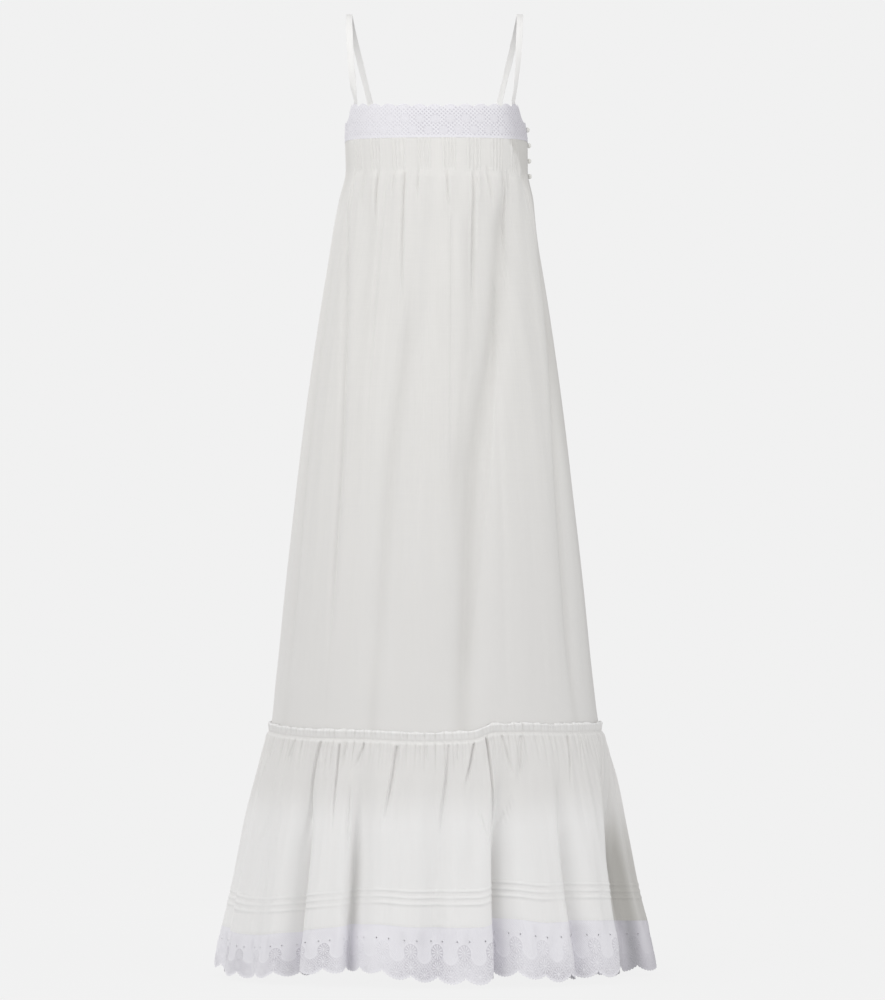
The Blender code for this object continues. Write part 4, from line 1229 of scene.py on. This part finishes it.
@dataclass(frozen=True)
class Tier:
    """One half of the gathered tier, with its heading and three horizontal tucks."""

    half: Half
    tier: TierForm = TierForm()
    tuck_edges: tuple = (0.2242, 0.2336, 0.2430)
    tuck_height: float = 0.0007
    tuck_step: float = 0.0008
    turned_in: tuple = (-0.0080, -0.0110, -0.0134)
    turned_depth: float = 0.0012
    columns: int = 620
    rows: tuple = ((-0.014, -0.0110, 4), (-0.0110, -0.002, 5), (-0.002, 0.002, 5), (0.002, 0.010, 7))
    open_rows: tuple = ((0.0125, 0.060, 14), (0.060, 0.200, 19))
    near_tucks: tuple = (0.2070, 0.2130)
    above_edge: tuple = (0.0065, 0.0049, 0.0041, 0.0034, 0.0016, 0.0008, 0.0)
    below_tucks: float = 0.2465
    sewn_above_edge: float = 0.0056
    gathering: tuple = (0.0012, 250, 0.0002)
    seam: tuple = (0.2715, 330, 0.0004)

    def tuck_relief(self, fall: Array) -> Array:
        """Height of the horizontal tucks: each swells to its free edge and steps back under it."""
        relief = np.zeros_like(fall)
        pitch = self.tuck_edges[1] - self.tuck_edges[0]
        for edge in self.tuck_edges:
            rise = 0.20 * ramp(fall, edge - pitch + 0.002, edge - 0.005)
            rise += 0.80 * ramp(fall, edge - 0.0048, edge - 0.0034)
            here = (fall > edge - pitch) & (fall < edge - self.tuck_step / 2)
            relief = np.where(here, rise, relief)
        return relief * self.tuck_height

    def falls(self) -> Array:
        """Distances down of the grid's rows, close together at the heading and at the tucks' edges."""
        steps = [edge - above for edge in self.tuck_edges for above in self.above_edge]
        below = stepped((self.below_tucks, self.tier.seams.lace_seam, 5))
        rows = (stepped(*self.rows), stepped(*self.open_rows), self.near_tucks, steps, below)
        return np.concatenate([self.turned_in, np.unique(np.round(np.concatenate(rows), 5))])

    def build(self, run: ClothRun) -> bpy.types.Object:
        """Builds the tier half.

        Args:
            run: where equal shares of its cloth lie.
        Returns:
            The piece.
        """
        falls = self.falls()
        inner = np.arange(len(falls))[:, None] < len(self.turned_in)
        share, fall = np.meshgrid(np.linspace(0, 1, self.columns + 1), falls)
        across = run.bearing(share, fall)
        wavy = (0.0012 * uneven(across, 220, 41) + 0.0009 * uneven(across, 88, 43)) * ramp(-fall, 0.006, 0.014)
        points = self.tier.fine(across, fall + wavy)
        relief = self.tuck_relief(fall) * (0.75 + 0.45 * uneven(across, 80, 42)) - self.turned_depth * inner
        points += outward(self.tier.plain, across, fall) * relief[..., None]
        down = np.where(inner, -2 * self.tier.heading - fall, fall)
        cloth = np.stack([(share - 0.5) * run.width, -down], -1)
        name = f"gathered_tier_{self.half.label}"
        made = ClothMesh.from_grid(points, cloth, self.tier.tone(across, fall)).make(name, Voile())
        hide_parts(f"tier_{self.half.label}")
        f"body_panel_{self.half.label}"
        self.sew(name, run)
        return made

    def sew(self, name: str, run: ClothRun) -> None:
        """Lays the stitches of the gathering line, the three tucks and the seam to the lace."""
        tucks = ((edge - self.sewn_above_edge, *self.seam[1:]) for edge in self.tuck_edges)
        rows = []
        for fall, count, lift in (self.gathering, *tucks, self.seam):
            down = np.full(count, fall)
            rows.append((run.bearing(np.linspace(0.001, 0.999, count), down), down, lift))
        made = sewn(self.tier.fine, rows, 0.00034, 0.62).make(f"{name}_stitches", Thread())
        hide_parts(f"tier_{self.half.label}")


# ---- lace


def covered(value: Array, soft: float = 0.55) -> Array:
    """How much of the cloth thread covers: 1 well inside a shape, 0 outside, with a soft rim."""
    return np.clip(value / soft + 0.5, 0, 1)


def netted(along: Array, down: Array, pitch: float, thread: float) -> Array:
    """Bars of a slanting net: above zero on them, in millimetres to their nearest side."""
    first = np.abs(((along + down) / np.sqrt(2)) % pitch - pitch / 2)
    second = np.abs(((along - down) / np.sqrt(2)) % pitch - pitch / 2)
    return np.maximum(thread - first, thread - second)


@dataclass(frozen=True)
class HemPattern:
    """Scalloped edging: plain lobes, daisies between and under them, net round these and a firm edge.

    Values are millimetres: above zero inside a shape, and about the distance to its rim.
    """

    scallops: int = 27
    width: float = 45.0
    depth: float = 74.6
    dip: float = 8.5
    roundness: float = 0.8
    petals: int = 12
    flowers: tuple = ((22.5, 34.0, 9.4), (22.5, 54.5, 8.8), (0.0, 64.0, 8.2))
    heart: float = 1.7
    band: float = 27.0
    lobe: tuple = (28.0, 14.5, 21.0)
    clearing: float = 1.6
    eyelet: tuple = (12.6, 19.6, 1.25)
    picot: float = 1.7
    picots: int = 9
    net: tuple = (3.4, 0.80)

    def place(self, along: Array) -> Array:
        """Distance from the middle of the scallop that a place along the lace belongs to."""
        return (along / self.width - np.floor(along / self.width) - 0.5) * self.width

    def edge(self, across: Array) -> Array:
        """How deep the lace reaches: |sin|^roundness between the valleys, with small picots."""
        phase = across / self.width + 0.5
        scallop = self.dip * (1 - np.abs(np.sin(np.pi * phase)) ** self.roundness)
        picots = self.picot * (1 - np.abs(np.sin(np.pi * phase * self.picots)))
        return self.depth - scallop - picots

    def daisies(self, middle: Array, down: Array) -> tuple[Array, Array]:
        """Narrow petals round a small heart, and how far inside the nearest flower a place is."""
        petals, flower = np.full_like(down, -9.0), np.full_like(down, -9.0)
        for centre, drop, radius in self.flowers:
            x, y = middle - centre, down - drop
            away, turn = np.hypot(x, y), np.arctan2(y, x)
            petal = np.minimum((np.cos(self.petals * turn) + 0.15) * away * 0.16, radius - away)
            petals = np.maximum(petals, np.maximum(petal, self.heart - away))
            flower = np.maximum(flower, radius + 0.9 - away)
        return petals, flower

    def lobes(self, middle: Array, down: Array) -> Array:
        """The plain cloth: a band along the top and a round lobe in each scallop, clear of the flowers."""
        drop, half_width, half_height = self.lobe
        lobe = (1 - np.hypot(middle / half_width, (down - drop) / half_height)) * half_width
        across, below, radius = self.flowers[0]
        clear = np.hypot(middle - across, down - below) - radius - self.clearing
        return np.minimum(np.maximum(self.band - down, lobe), clear)

    def from_eyelet(self, middle: Array, down: Array) -> Array:
        """Distance from the centre of the nearest eyelet."""
        return np.hypot(middle - self.eyelet[0], down - self.eyelet[1])

    def keep(self, along: Array, fall: Array) -> Array:
        """The pattern's value, at metres along the lace and metres down from its seam."""
        across, down = self.place(along * 1000), fall * 1000
        eyelets = self.from_eyelet(np.abs(across), down) - self.eyelet[2]
        return np.minimum(self.edge(across) - down, eyelets) / 1000

    def threads(self, along: Array, fall: Array) -> tuple[Array, Array]:
        """How much thread lies on the sheer ground, and how far it stands up.

        Most thread is on petals and cords, and less on plain parts and net. Petals, net, cords and the rims
        of the eyelets stand up.

        Args:
            along: metres along the lace.
            fall: metres down from its seam.
        Returns:
            The thread, 0 on bare ground to 1, and its height in metres.
        """
        across, down = self.place(along * 1000), fall * 1000
        middle = np.abs(across)
        petals, flower = self.daisies(middle, down)
        lobes = self.lobes(middle, down)
        inside = self.edge(across) - down
        net = netted(across, down, *self.net)
        laid = np.maximum.reduce((
            0.88 * covered(lobes), 0.74 * covered(np.where(flower > 0, -1.0, net)), covered(petals),
            0.98 * covered(0.8 - np.abs(lobes - 0.4)), 0.88 * covered(3.4 - inside),
        ))
        rim = bell(self.from_eyelet(middle, down) - 2.1, 0.8)
        cord = bell(inside - 1.0, 1.1) + bell(lobes - 0.4, 0.7)
        net = covered(net) * (flower < 0) * (lobes < 0)
        return laid, (0.55 * covered(petals, 1.2) + 0.4 * rim + 0.35 * cord + 0.2 * net) / 1000


@dataclass(frozen=True)
class HemLace:
    """One half of the hem's lace edging."""

    half: Half
    tier: TierForm = TierForm()
    pattern: HemPattern = HemPattern()
    columns: int = 1230
    tucked_up: float = 0.004
    rows: tuple = ((0.014, 0.025, 11), (0.025, 0.0752, 53))
    bare: float = 0.20
    bare_side: tuple = (22.0, 38.0, 60.0, 68.0)

    def ripples(self, bearing: Array, fall: Array) -> Array:
        """Small gathers where the lace is sewn on, from -1 to 1 and fading downwards."""
        return uneven(bearing, 210, 51) * (1 - ramp(fall, 0.280, 0.345))

    def surface(self, bearing: Array, fall: Array) -> Array:
        """The lace's face: the tier's flutes, lightly gathered where it is sewn on."""
        ripple = 0.0017 * self.ripples(bearing, fall) + 0.0014 * mottled(bearing, fall, 120, 0.06, 52)
        tucked = 0.0004 * (1 - ramp(fall, 0.2735, 0.2765))
        leaving = ramp(fall, 0.276, 0.306)
        extra = self.tier.detail(bearing, fall) * (1 - leaving) + ripple * leaving - tucked
        return self.tier.draped(bearing, fall, extra)

    def build(self, run: ClothRun) -> bpy.types.Object:
        """Cuts the pattern and lays it on the flutes.

        Args:
            run: where equal shares of the tier's cloth lie.
        Returns:
            The piece.
        """
        length = self.pattern.scallops * self.pattern.width / 1000
        down = stepped((-self.tucked_up, self.rows[0][0], 6), *self.rows)
        places, faces = cut_cloth(np.linspace(0, length, self.columns), down, self.pattern.keep)
        along, down = places.T
        fall = self.tier.seams.lace_seam + down
        bearing = run.bearing(along / length, fall)
        laid, relief = self.pattern.threads(along, down)
        points = self.surface(bearing, fall) + outward(self.surface, bearing, fall) * relief[:, None]
        cloth = np.stack([along - length / 2, -down], -1)
        thread_and_shade = self.thread_and_shade(laid, bearing, fall)
        made = ClothMesh(points, faces, cloth, thread_and_shade).make(f"hem_edging_{self.half.label}", Openwork())
        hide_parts(f"hem_lace_{self.half.label}")
        rests = [f"gathered_tier_{self.half.label}"]
        return made

    def thread_and_shade(self, laid: Array, bearing: Array, fall: Array) -> Array:
        """Thread on the lace: more where the ground is filled, with painted shade in its small valleys and
        behind a flute.

        Args:
            laid: how much thread the pattern lays.
            bearing: place round the body.
            fall: distance below the stitch line.
        Returns:
            How much thread shows with painted shade taken off, below zero where the lace lies deep behind a
            flute.
        """
        bare = self.bare * within(turned(bearing), *self.bare_side)
        filled = np.clip(0.46 - bare + 0.90 * mottled(bearing, fall, 46, 0.06, 53), 0, 0.88)
        # Painted shade in the small valleys of the gathers.
        valleys = ramp(-self.ripples(bearing, fall), 0.05, 0.90) * ramp(fall, 0.274, 0.286)
        valleys = valleys * (0.14 + 0.12 * mottled(bearing, fall, 24, 0.30, 54))
        # Painted shade behind a flute, taken from the tier.
        painted_shade = self.tier.painted_shade(bearing, fall)
        thread_and_shade = (filled + (1 - filled) * laid) * (1 - 0.45 * painted_shade) * (1 - valleys)
        return thread_and_shade - 1.2 * np.clip(painted_shade - 0.6, 0, 1)


@dataclass(frozen=True)
class NeckPattern:
    """Heavy lace: a slanting net on a sheer ground, staggered rosettes, solid scallops and a firm foot.

    Values are millimetres: above zero inside a shape, and about the distance to its rim.
    """

    pitch: float = 21.0
    rows: tuple = ((0.0, 22.5, 6.8), (10.5, 39.0, 6.5))
    cap: float = 8.2
    net: tuple = (4.15, 0.92)
    raised_net: tuple = (4.15, 0.95)
    firm: float = 4.0

    def rosettes(self, along: Array, down: Array) -> tuple[Array, Array, Array]:
        """Cloth of the nearest rosette, and the distance and angle from its middle."""
        cloth, away, turn = np.full_like(down, -9.0), np.full_like(down, 99.0), np.zeros_like(down)
        for shift, drop, radius in self.rows:
            x = (along + shift + self.pitch / 2) % self.pitch - self.pitch / 2
            here, angle = np.hypot(x, down - drop), np.arctan2(down - drop, x)
            lobed = radius - 0.8 * (1 - np.abs(np.cos(4 * angle))) - here
            nearer = lobed > cloth
            cloth = np.where(nearer, lobed, cloth)
            away, turn = np.where(nearer, here, away), np.where(nearer, angle, turn)
        return cloth, away, turn

    def threads(self, along: Array, down: Array, foot: Array, edge: Array) -> tuple[Array, Array]:
        """How much thread lies on the sheer ground, and how far it stands up.

        Args:
            along: millimetres along the band from the middle of a scallop.
            down: millimetres below the line of its top edge.
            foot: how deep the band is there.
            edge: how far below the line the scalloped edge lies.
        Returns:
            The thread, 0 on the ground to 1 on the net's bars, and its height in millimetres.
        """
        rosette, away, turn = self.rosettes(along, down)
        across = (along + self.pitch / 2) % self.pitch - self.pitch / 2
        cap = np.where(edge < 4.5, self.cap - np.hypot(across, down), -1.0)
        low = down - foot + self.firm
        veins = 0.16 * np.abs(np.sin(4 * turn)) ** 6 * np.clip(away / 3, 0, 1)
        laid = np.maximum.reduce((
            covered(netted(along, down, *self.net)) * (rosette < -0.5), (0.80 - veins) * covered(rosette),
            0.80 * covered(cap), 0.90 * covered(1.9 - (down - edge)), 0.84 * covered(low),
        ))
        domed = covered(rosette, 1.6) * (0.75 + 0.25 * np.cos(8 * turn))
        bars = covered(netted(along, down, *self.raised_net), 1.0) * (rosette < 0)
        firm = covered(low, 1.0) * covered(foot - down - 0.6, 1.0)
        cord = bell(down - edge - 1.2, 1.0)
        forms = (0.5 * domed + 0.3 * bell(away, 1.5), 0.45 * cord, 0.35 * bars, 0.35 * firm)
        return laid, np.maximum.reduce(forms)


@dataclass(frozen=True)
class NeckLace:
    """One half of the lace neck band."""

    half: Half
    corner: float
    scallops: int
    form: WornForm = WornForm()
    edges: NeckEdges = NeckEdges()
    pattern: NeckPattern = NeckPattern()
    dip: float = 0.0048
    roundness: float = 0.8
    side_step: float = 0.0
    step: float = 0.00072
    picot: float = 0.0006
    picot_pitch: float = 3.5
    # Ranges of painted shade under the arms.
    left_side: tuple = (40.0, 57.0, 98.0, 116.0)
    right_side: tuple = (60.0, 76.0)
    filled_side: tuple = (4.0, 40.0, 80.0, 100.0)

    def surface(self, bearing: Array, down: Array) -> Array:
        """The band's face, that far below the line of its top edge."""
        return self.form.placed(bearing, self.edges.top(bearing) - down, 0.0)

    def edge(self, bearing: Array) -> Array:
        """How far the edge lies below its line: scallops over the middle, then a step down and a plain edge."""
        facing = np.abs(turned(bearing - self.half.value))
        phase = (turned(bearing - self.half.value) + self.corner) / (2 * self.corner) * self.scallops
        dip = self.dip * (1 - np.abs(np.sin(np.pi * phase)) ** self.roundness)
        beyond = facing - self.corner
        step = self.side_step * ramp(beyond, 0.0, 4.5) * (1 - ramp(beyond, 5.0, 18.0))
        return np.where(beyond < 0, dip, step)

    def build(self) -> bpy.types.Object:
        """Cuts the pattern and lays it round the body."""
        dense = self.half.value + np.linspace(-SIDE_SEAM, SIDE_SEAM, 1200)
        run = travelled(self.surface(dense, np.full_like(dense, 0.02)))
        length = run[-1]
        middle = length / 2
        corner = np.interp(self.half.value + self.corner, dense, run) - middle
        stretch = self.scallops * self.pattern.pitch / 2 / corner

        def foot(bearing: Array) -> Array:
            """How deep the band is at a bearing."""
            return self.edges.top(bearing) - self.edges.foot(bearing)

        def keep(along: Array, down: Array) -> Array:
            """Above zero between the scalloped edge and the foot."""
            bearing = np.interp(along, run, dense)
            picots = self.picot * (1 - np.abs(np.sin(np.pi * (along - middle) * stretch / self.picot_pitch)))
            return np.minimum(down - self.edge(bearing) - picots, foot(bearing) - down)

        deepest = float(foot(dense).max()) + 0.001
        rows = np.linspace(-0.0005, deepest, int(deepest / self.step) + 1)
        places, faces = cut_cloth(np.linspace(0, length, int(length / self.step) + 1), rows, keep)
        along, down = places.T
        bearing = np.interp(along, run, dense)
        steps = (along - middle) * stretch + (self.scallops % 2 - 1) * self.pattern.pitch / 2
        laid, relief = self.pattern.threads(steps, down * 1000, foot(bearing) * 1000, self.edge(bearing) * 1000)
        points = self.surface(bearing, down) + outward(self.surface, bearing, down) * relief[:, None] / 1000
        cloth = np.stack([along - middle, -down], -1)
        made = ClothMesh(points, faces, cloth, self.thread_and_shade(laid, bearing))
        made = made.make(f"neck_band_{self.half.label}", Openwork())
        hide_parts(f"neck_lace_{self.half.label}")
        return made

    def thread_and_shade(self, laid: Array, bearing: Array) -> Array:
        """Thread on the lace: more on its filled right part, and less light on it under both arms."""
        side = turned(bearing)
        # Painted shade under both arms.
        near_left = within(side, *self.left_side)
        near_right = 0.24 * ramp(-side, *self.right_side)
        filled = 0.12 + 0.50 * within(-side, *self.filled_side) + 0.12 * uneven(bearing, 40, 71)
        thread_and_shade = 0.86 * filled + (1 - filled) * laid
        return thread_and_shade * (1 - 0.40 * near_left - near_right) - 0.24 * near_left


# ---- straps and buttons


def bezier(points: Array, shares: Array) -> Array:
    """Points along a Bezier curve, by repeated sharing of the spans between its control points."""
    levels = np.repeat(np.asarray(points, float)[None], len(shares), axis=0)
    while levels.shape[1] > 1:
        levels = levels[:, :-1] + shares[:, None, None] * (levels[:, 1:] - levels[:, :-1])
    return levels[:, 0]


@dataclass(frozen=True)
class Strap:
    """A narrow turned strap, sewn behind the band at both ends."""

    label: str
    side: int
    form: WornForm = WornForm()
    edges: NeckEdges = NeckEdges()
    width: float = 0.0095
    thickness: float = 0.0015
    tucked_in: float = 0.0140
    front_bearing: float = 61.0
    back_bearing: float = 139.0
    behind: float = 0.0029
    sections: int = 96
    corners: int = 20
    squared: float = 0.42
    rising: tuple = ((0.1245, -0.066, -0.0980), (0.1265, -0.062, -0.0520), (0.1276, -0.040, 0.00075))
    shoulder: tuple = (0.1280, 0.004, 0.00075)
    falling: tuple = ((0.1284, 0.048, 0.00075), (0.1200, 0.092, -0.0420), (0.1020, 0.104, -0.1050))

    def anchor(self, bearing: float, rise: float) -> tuple[Array, Array]:
        """A place against the band, that far above its top edge, and the way of the strap's width."""
        spot = np.array([self.side * bearing])
        height = self.edges.top(spot) + rise
        ring = self.form.ring(spot, height)
        place = self.form.placed(spot, height, -self.behind)[0]
        return place, self.side * np.array([-ring.out_y[0], ring.out_x[0], 0.0])

    def path(self) -> tuple[Array, Array]:
        """The strap's centre line over the shoulder, and the way of its width along it."""
        front_end, front_wide = self.anchor(self.front_bearing, -self.tucked_in)
        front_edge, _ = self.anchor(self.front_bearing, 0.004)
        back_end, back_wide = self.anchor(self.back_bearing, -self.tucked_in)
        back_edge, _ = self.anchor(self.back_bearing, 0.004)
        mirror = np.array([self.side, 1, 1])
        steps = np.linspace(0, 1, self.sections // 2 + 1)
        parts = (self.rising, self.shoulder, self.falling)
        rising, shoulder, falling = (np.array(part) * mirror for part in parts)
        front_run = bezier(np.vstack([front_edge, rising, shoulder]), steps)
        back_run = bezier(np.vstack([shoulder, falling, back_edge]), steps)
        line = np.vstack([front_end, front_run, back_run[1:], back_end])
        share = np.linspace(0, 1, len(line))[:, None]
        leaving, arriving = ramp(share, 0.02, self.squared), ramp(share, 0.58, 0.95)
        on_top = np.array([1.0, 0.06, 0.0]) * mirror
        wide = front_wide * (1 - leaving) + on_top * leaving * (1 - arriving) - back_wide * arriving
        return line, wide

    def build(self) -> bpy.types.Object:
        """Carries a flat section with rounded edges and a stitched groove along the path."""
        line, wide = self.path()
        run = np.gradient(line, axis=0)
        run /= np.linalg.norm(run, axis=1, keepdims=True)
        wide = wide - run * np.einsum("ij,ij->i", run, wide)[:, None]
        wide /= np.linalg.norm(wide, axis=1, keepdims=True)
        thick = np.cross(run, wide)
        angles = np.linspace(0, 2 * np.pi, self.corners, endpoint=False)
        across = np.sign(np.cos(angles)) * np.abs(np.cos(angles)) ** 0.55 * self.width / 2
        rise = np.sign(np.sin(angles)) * np.abs(np.sin(angles)) ** 0.5 * self.thickness / 2
        groove = 1 - 0.34 * bell(np.abs(across) - 0.0034, 0.0007)
        length = travelled(line)
        narrowed = uneven(np.arange(24) * 15.0, 24, 61)
        wobble = 1 + 0.05 * np.interp(length, np.linspace(0, length[-1], 24), narrowed)
        points = line[:, None] + wide[:, None] * (across[None] * wobble[:, None])[..., None]
        points = points + thick[:, None] * (rise * groove)[None, :, None]
        rows, columns = points.shape[:2]
        low = np.arange(columns // 2 - 1)
        cap = np.stack([low, low + 1, columns - 2 - low, columns - 1 - low], -1)
        faces = np.concatenate([ring_quads(rows, columns), cap[:, ::-1], cap + (rows - 1) * columns])
        around = np.cumsum(np.hypot(np.diff(across, prepend=across[0]), np.diff(rise, prepend=rise[0])))
        cloth = np.stack(np.broadcast_arrays(around[None], length[:, None]), -1).reshape(-1, 2)
        pale = Voile(title="strap_voile", light=(0.90, 0.895, 0.885), shade=(0.87, 0.865, 0.855))
        made = ClothMesh(points.reshape(-1, 3), faces, cloth).make(f"shoulder_strap_{self.label}", pale)
        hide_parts(f"strap_{self.label}")
        return made


@dataclass(frozen=True)
class SideButtons:
    """Small cloth-covered domes down the wearer's left side, fixed where they are buttoned."""

    form: WornForm = WornForm()
    bearing: float = 94.0
    top: float = -0.1725
    pitch: float = 0.0232
    count: int = 4
    radius: float = 0.0038
    dome: float = 0.0052
    rim: float = 0.0010
    standoff: float = 0.0005
    under: tuple = ((0.0, 0.0), (0.0013, 0.0), (0.0030, 0.0001), (0.0036, 0.0005))
    pleats: int = 14
    corners: int = 28

    def face(self, bearing: Array, depth: Array) -> Array:
        """The smooth side of the dress at a depth below the shoulders."""
        return self.form.placed(bearing, -depth, 0.0)

    def build(self) -> list[bpy.types.Object]:
        """Turns a dome profile, with pleats drawn in behind its rim, at each place."""
        return [self.one(number) for number in range(self.count)]

    def one(self, number: int) -> bpy.types.Object:
        """Builds one button."""
        bearing, depth = np.array([self.bearing]), np.array([-self.top + number * self.pitch])
        facing = outward(self.face, bearing, depth)[0]
        across = np.cross((0, 0, 1), facing)
        across /= np.linalg.norm(across)
        seat = self.face(bearing, depth)[0] + facing * self.standoff
        turns = np.linspace(0, 1, 13)
        under_radii, under_rises = zip(*self.under)
        radii = np.concatenate([under_radii, self.radius * np.cos(turns * np.pi / 2) ** 0.85])
        rises = np.concatenate([under_rises, self.rim + (self.dome - self.rim) * np.sin(turns * np.pi / 2)])
        angles = np.linspace(0, 2 * np.pi, self.corners, endpoint=False)
        spokes = np.outer(np.cos(angles), across) + np.outer(np.sin(angles), np.cross(facing, across))
        pleats = 1 + 0.035 * np.cos(self.pleats * angles)[None] * bell(rises - 0.0007, 0.0006)[:, None]
        points = seat + facing * rises[:, None, None] + (radii[:, None] * pleats)[..., None] * spokes
        quads = ring_quads(*points.shape[:2])
        cloth = np.stack(np.broadcast_arrays(angles[None] * self.radius, rises[:, None]), -1).reshape(-1, 2)
        made = ClothMesh(points.reshape(-1, 3), quads, cloth).make(f"side_button_{number + 1}", CoveredButton())
        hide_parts(f"button_{number + 1}")
        return made


# ---- studio


@dataclass(frozen=True)
class Lamp:
    """A soft rectangular light: where it stands, what it looks at, its size, power and colour."""

    name: str
    place: tuple
    target: tuple
    size: float
    power: float
    colour: tuple = (1.0, 1.0, 1.0)

    def build(self) -> None:
        """Adds the light to the scene."""
        data = bpy.data.lights.new(self.name, "AREA")
        data.shape = "SQUARE"
        data.size = self.size
        data.energy = self.power
        data.color = self.colour
        lamp = bpy.data.objects.new(self.name, data)
        lamp.location = self.place
        lamp.rotation_euler = (Vector(self.target) - Vector(self.place)).to_track_quat("-Z", "Y").to_euler()
        bpy.context.scene.collection.objects.link(lamp)


@dataclass(frozen=True)
class Studio:
    """A pale floor and backdrop, soft lights and the camera."""

    backdrop: float = 0.879
    ambient: float = 0.50
    floor_height: float = -1.4400
    floor_radius: float = 2.4
    floor_darker: float = 0.024
    floor_melts: tuple = (1.75, 2.75)
    camera_place: tuple = (0.012, -9.0, -0.7275)
    lens: float = 216.0
    lamps: tuple[Lamp, ...] = (
        Lamp("key", (-3.4, -4.2, 2.2), (0.0, 0.0, -0.6), 2.4, 74.0, (1.0, 0.995, 0.985)),
        Lamp("near", (-0.3, -2.7, 1.1), (0.0, 0.0, -0.3), 1.6, 9.0),
        Lamp("fill", (3.9, -4.0, 0.6), (0.0, 0.0, -0.7), 3.0, 73.0),
        Lamp("left", (-4.2, -1.4, 0.9), (0.0, 0.0, -0.6), 2.6, 45.0),
        Lamp("right", (4.2, -2.0, 0.9), (0.0, 0.0, -0.6), 2.6, 26.0),
        Lamp("rear", (-2.0, 4.5, 1.2), (0.0, 0.0, -0.7), 2.6, 70.0),
    )

    def glowing(self, name: str, colour: tuple, strength: float) -> Graph:
        """A matt surface that also gives off an even light."""
        graph = Graph(name)
        graph.dress({
            "Base Color": rgb(*colour), "Roughness": 1.0, "Specular IOR Level": 0.0,
            "Emission Color": rgb(1.0, 1.0, 1.0), "Emission Strength": strength,
        })
        return graph

    def disc(self, radius: float, rings: int, sides: int) -> bpy.types.Object:
        """A round floor of rings of quads, facing up."""
        radii = np.linspace(0.02, radius, rings)
        angles = np.linspace(0, 2 * np.pi, sides, endpoint=False)
        level = np.full((rings, sides), self.floor_height)
        grid = np.stack([radii[:, None] * np.cos(angles), radii[:, None] * np.sin(angles), level], -1)
        quads = ring_quads(rings, sides)[:, [0, 3, 2, 1]]
        mesh = bpy.data.meshes.new("floor")
        mesh.from_pydata(grid.reshape(-1, 3).tolist(), [], [*quads.tolist(), list(range(sides))])
        floor = bpy.data.objects.new("floor", mesh)
        bpy.context.scene.collection.objects.link(floor)
        return floor

    def build_floor(self) -> None:
        """A pale floor that melts into the backdrop at its rim."""
        floor = self.disc(self.floor_radius, 24, 96)
        graph = self.glowing("pale_floor", (0.03, 0.03, 0.03), self.backdrop - self.floor_darker)
        place = graph.add("ShaderNodeTexCoord", {}, {}, "Object")
        away = graph.add("ShaderNodeVectorMath", {"operation": "LENGTH"}, {0: place}, "Value")
        graph.dress({"Alpha": 1 - away.between(*self.floor_melts)})
        floor.data.materials.append(graph.material)
        floor.visible_diffuse = False
        floor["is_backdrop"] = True

    def build_backdrop(self) -> None:
        """A far shell of even pale grey that is only looked at, and gives no light."""
        bpy.ops.mesh.primitive_uv_sphere_add(segments=48, ring_count=24, radius=40.0)
        shell = bpy.context.active_object
        shell.name = "backdrop"
        graph = self.glowing("pale_backdrop", (0.0, 0.0, 0.0), self.backdrop)
        shell.data.materials.append(graph.material)
        for rays in ("diffuse", "glossy", "transmission", "volume_scatter", "shadow"):
            setattr(shell, f"visible_{rays}", False)
        shell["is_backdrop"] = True

    def build(self) -> None:
        """Sets the floor, the backdrop, the light round the dress, the lamps and the camera."""
        self.build_floor()
        self.build_backdrop()
        world = bpy.data.worlds.new("studio")
        world.use_nodes = True
        background = world.node_tree.nodes["Background"]
        background.inputs["Color"].default_value = rgb(1.0, 1.0, 1.0)
        background.inputs["Strength"].default_value = self.ambient
        bpy.context.scene.world = world
        bpy.context.scene.view_settings.view_transform = "Standard"
        for lamp in self.lamps:
            lamp.build()
        data = bpy.data.cameras.new("camera")
        data.lens = self.lens
        data.sensor_width = 36.0
        data.clip_end = 100.0
        camera = bpy.data.objects.new("camera", data)
        camera.location = self.camera_place
        camera.rotation_euler = (np.pi / 2, 0.0, 0.0)
        bpy.context.scene.collection.objects.link(camera)
        bpy.context.scene.camera = camera


# ---- all of it


def corners(bounds: Any) -> list[list[float]]:
    """A box's two corners as plain lists of numbers."""
    return [[float(value) for value in corner] for corner in bounds]


def main() -> None:
    """Builds the dress piece by piece, then the studio."""
    logging.basicConfig(level=logging.INFO, format="%(name)s %(message)s")
    solid_box = corners(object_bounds())
    tier = TierForm()
    for half, corner, scallops in ((Half.FRONT, 64.0, 13), (Half.BACK, 62.0, 12)):
        run = ClothRun(tier, half)
        Skirt(half).build()
        Tier(half).build(run)
        HemLace(half).build(run)
        NeckLace(half, corner, scallops, side_step=0.017 if half is Half.FRONT else 0.0).build()
    Strap("right", -1, squared=0.12).build()
    Strap("left", 1).build()
    SideButtons().build()
    Studio().build()
    {"cad": solid_box, "visual": corners(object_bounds())}


if __name__ == "__main__":
    main()
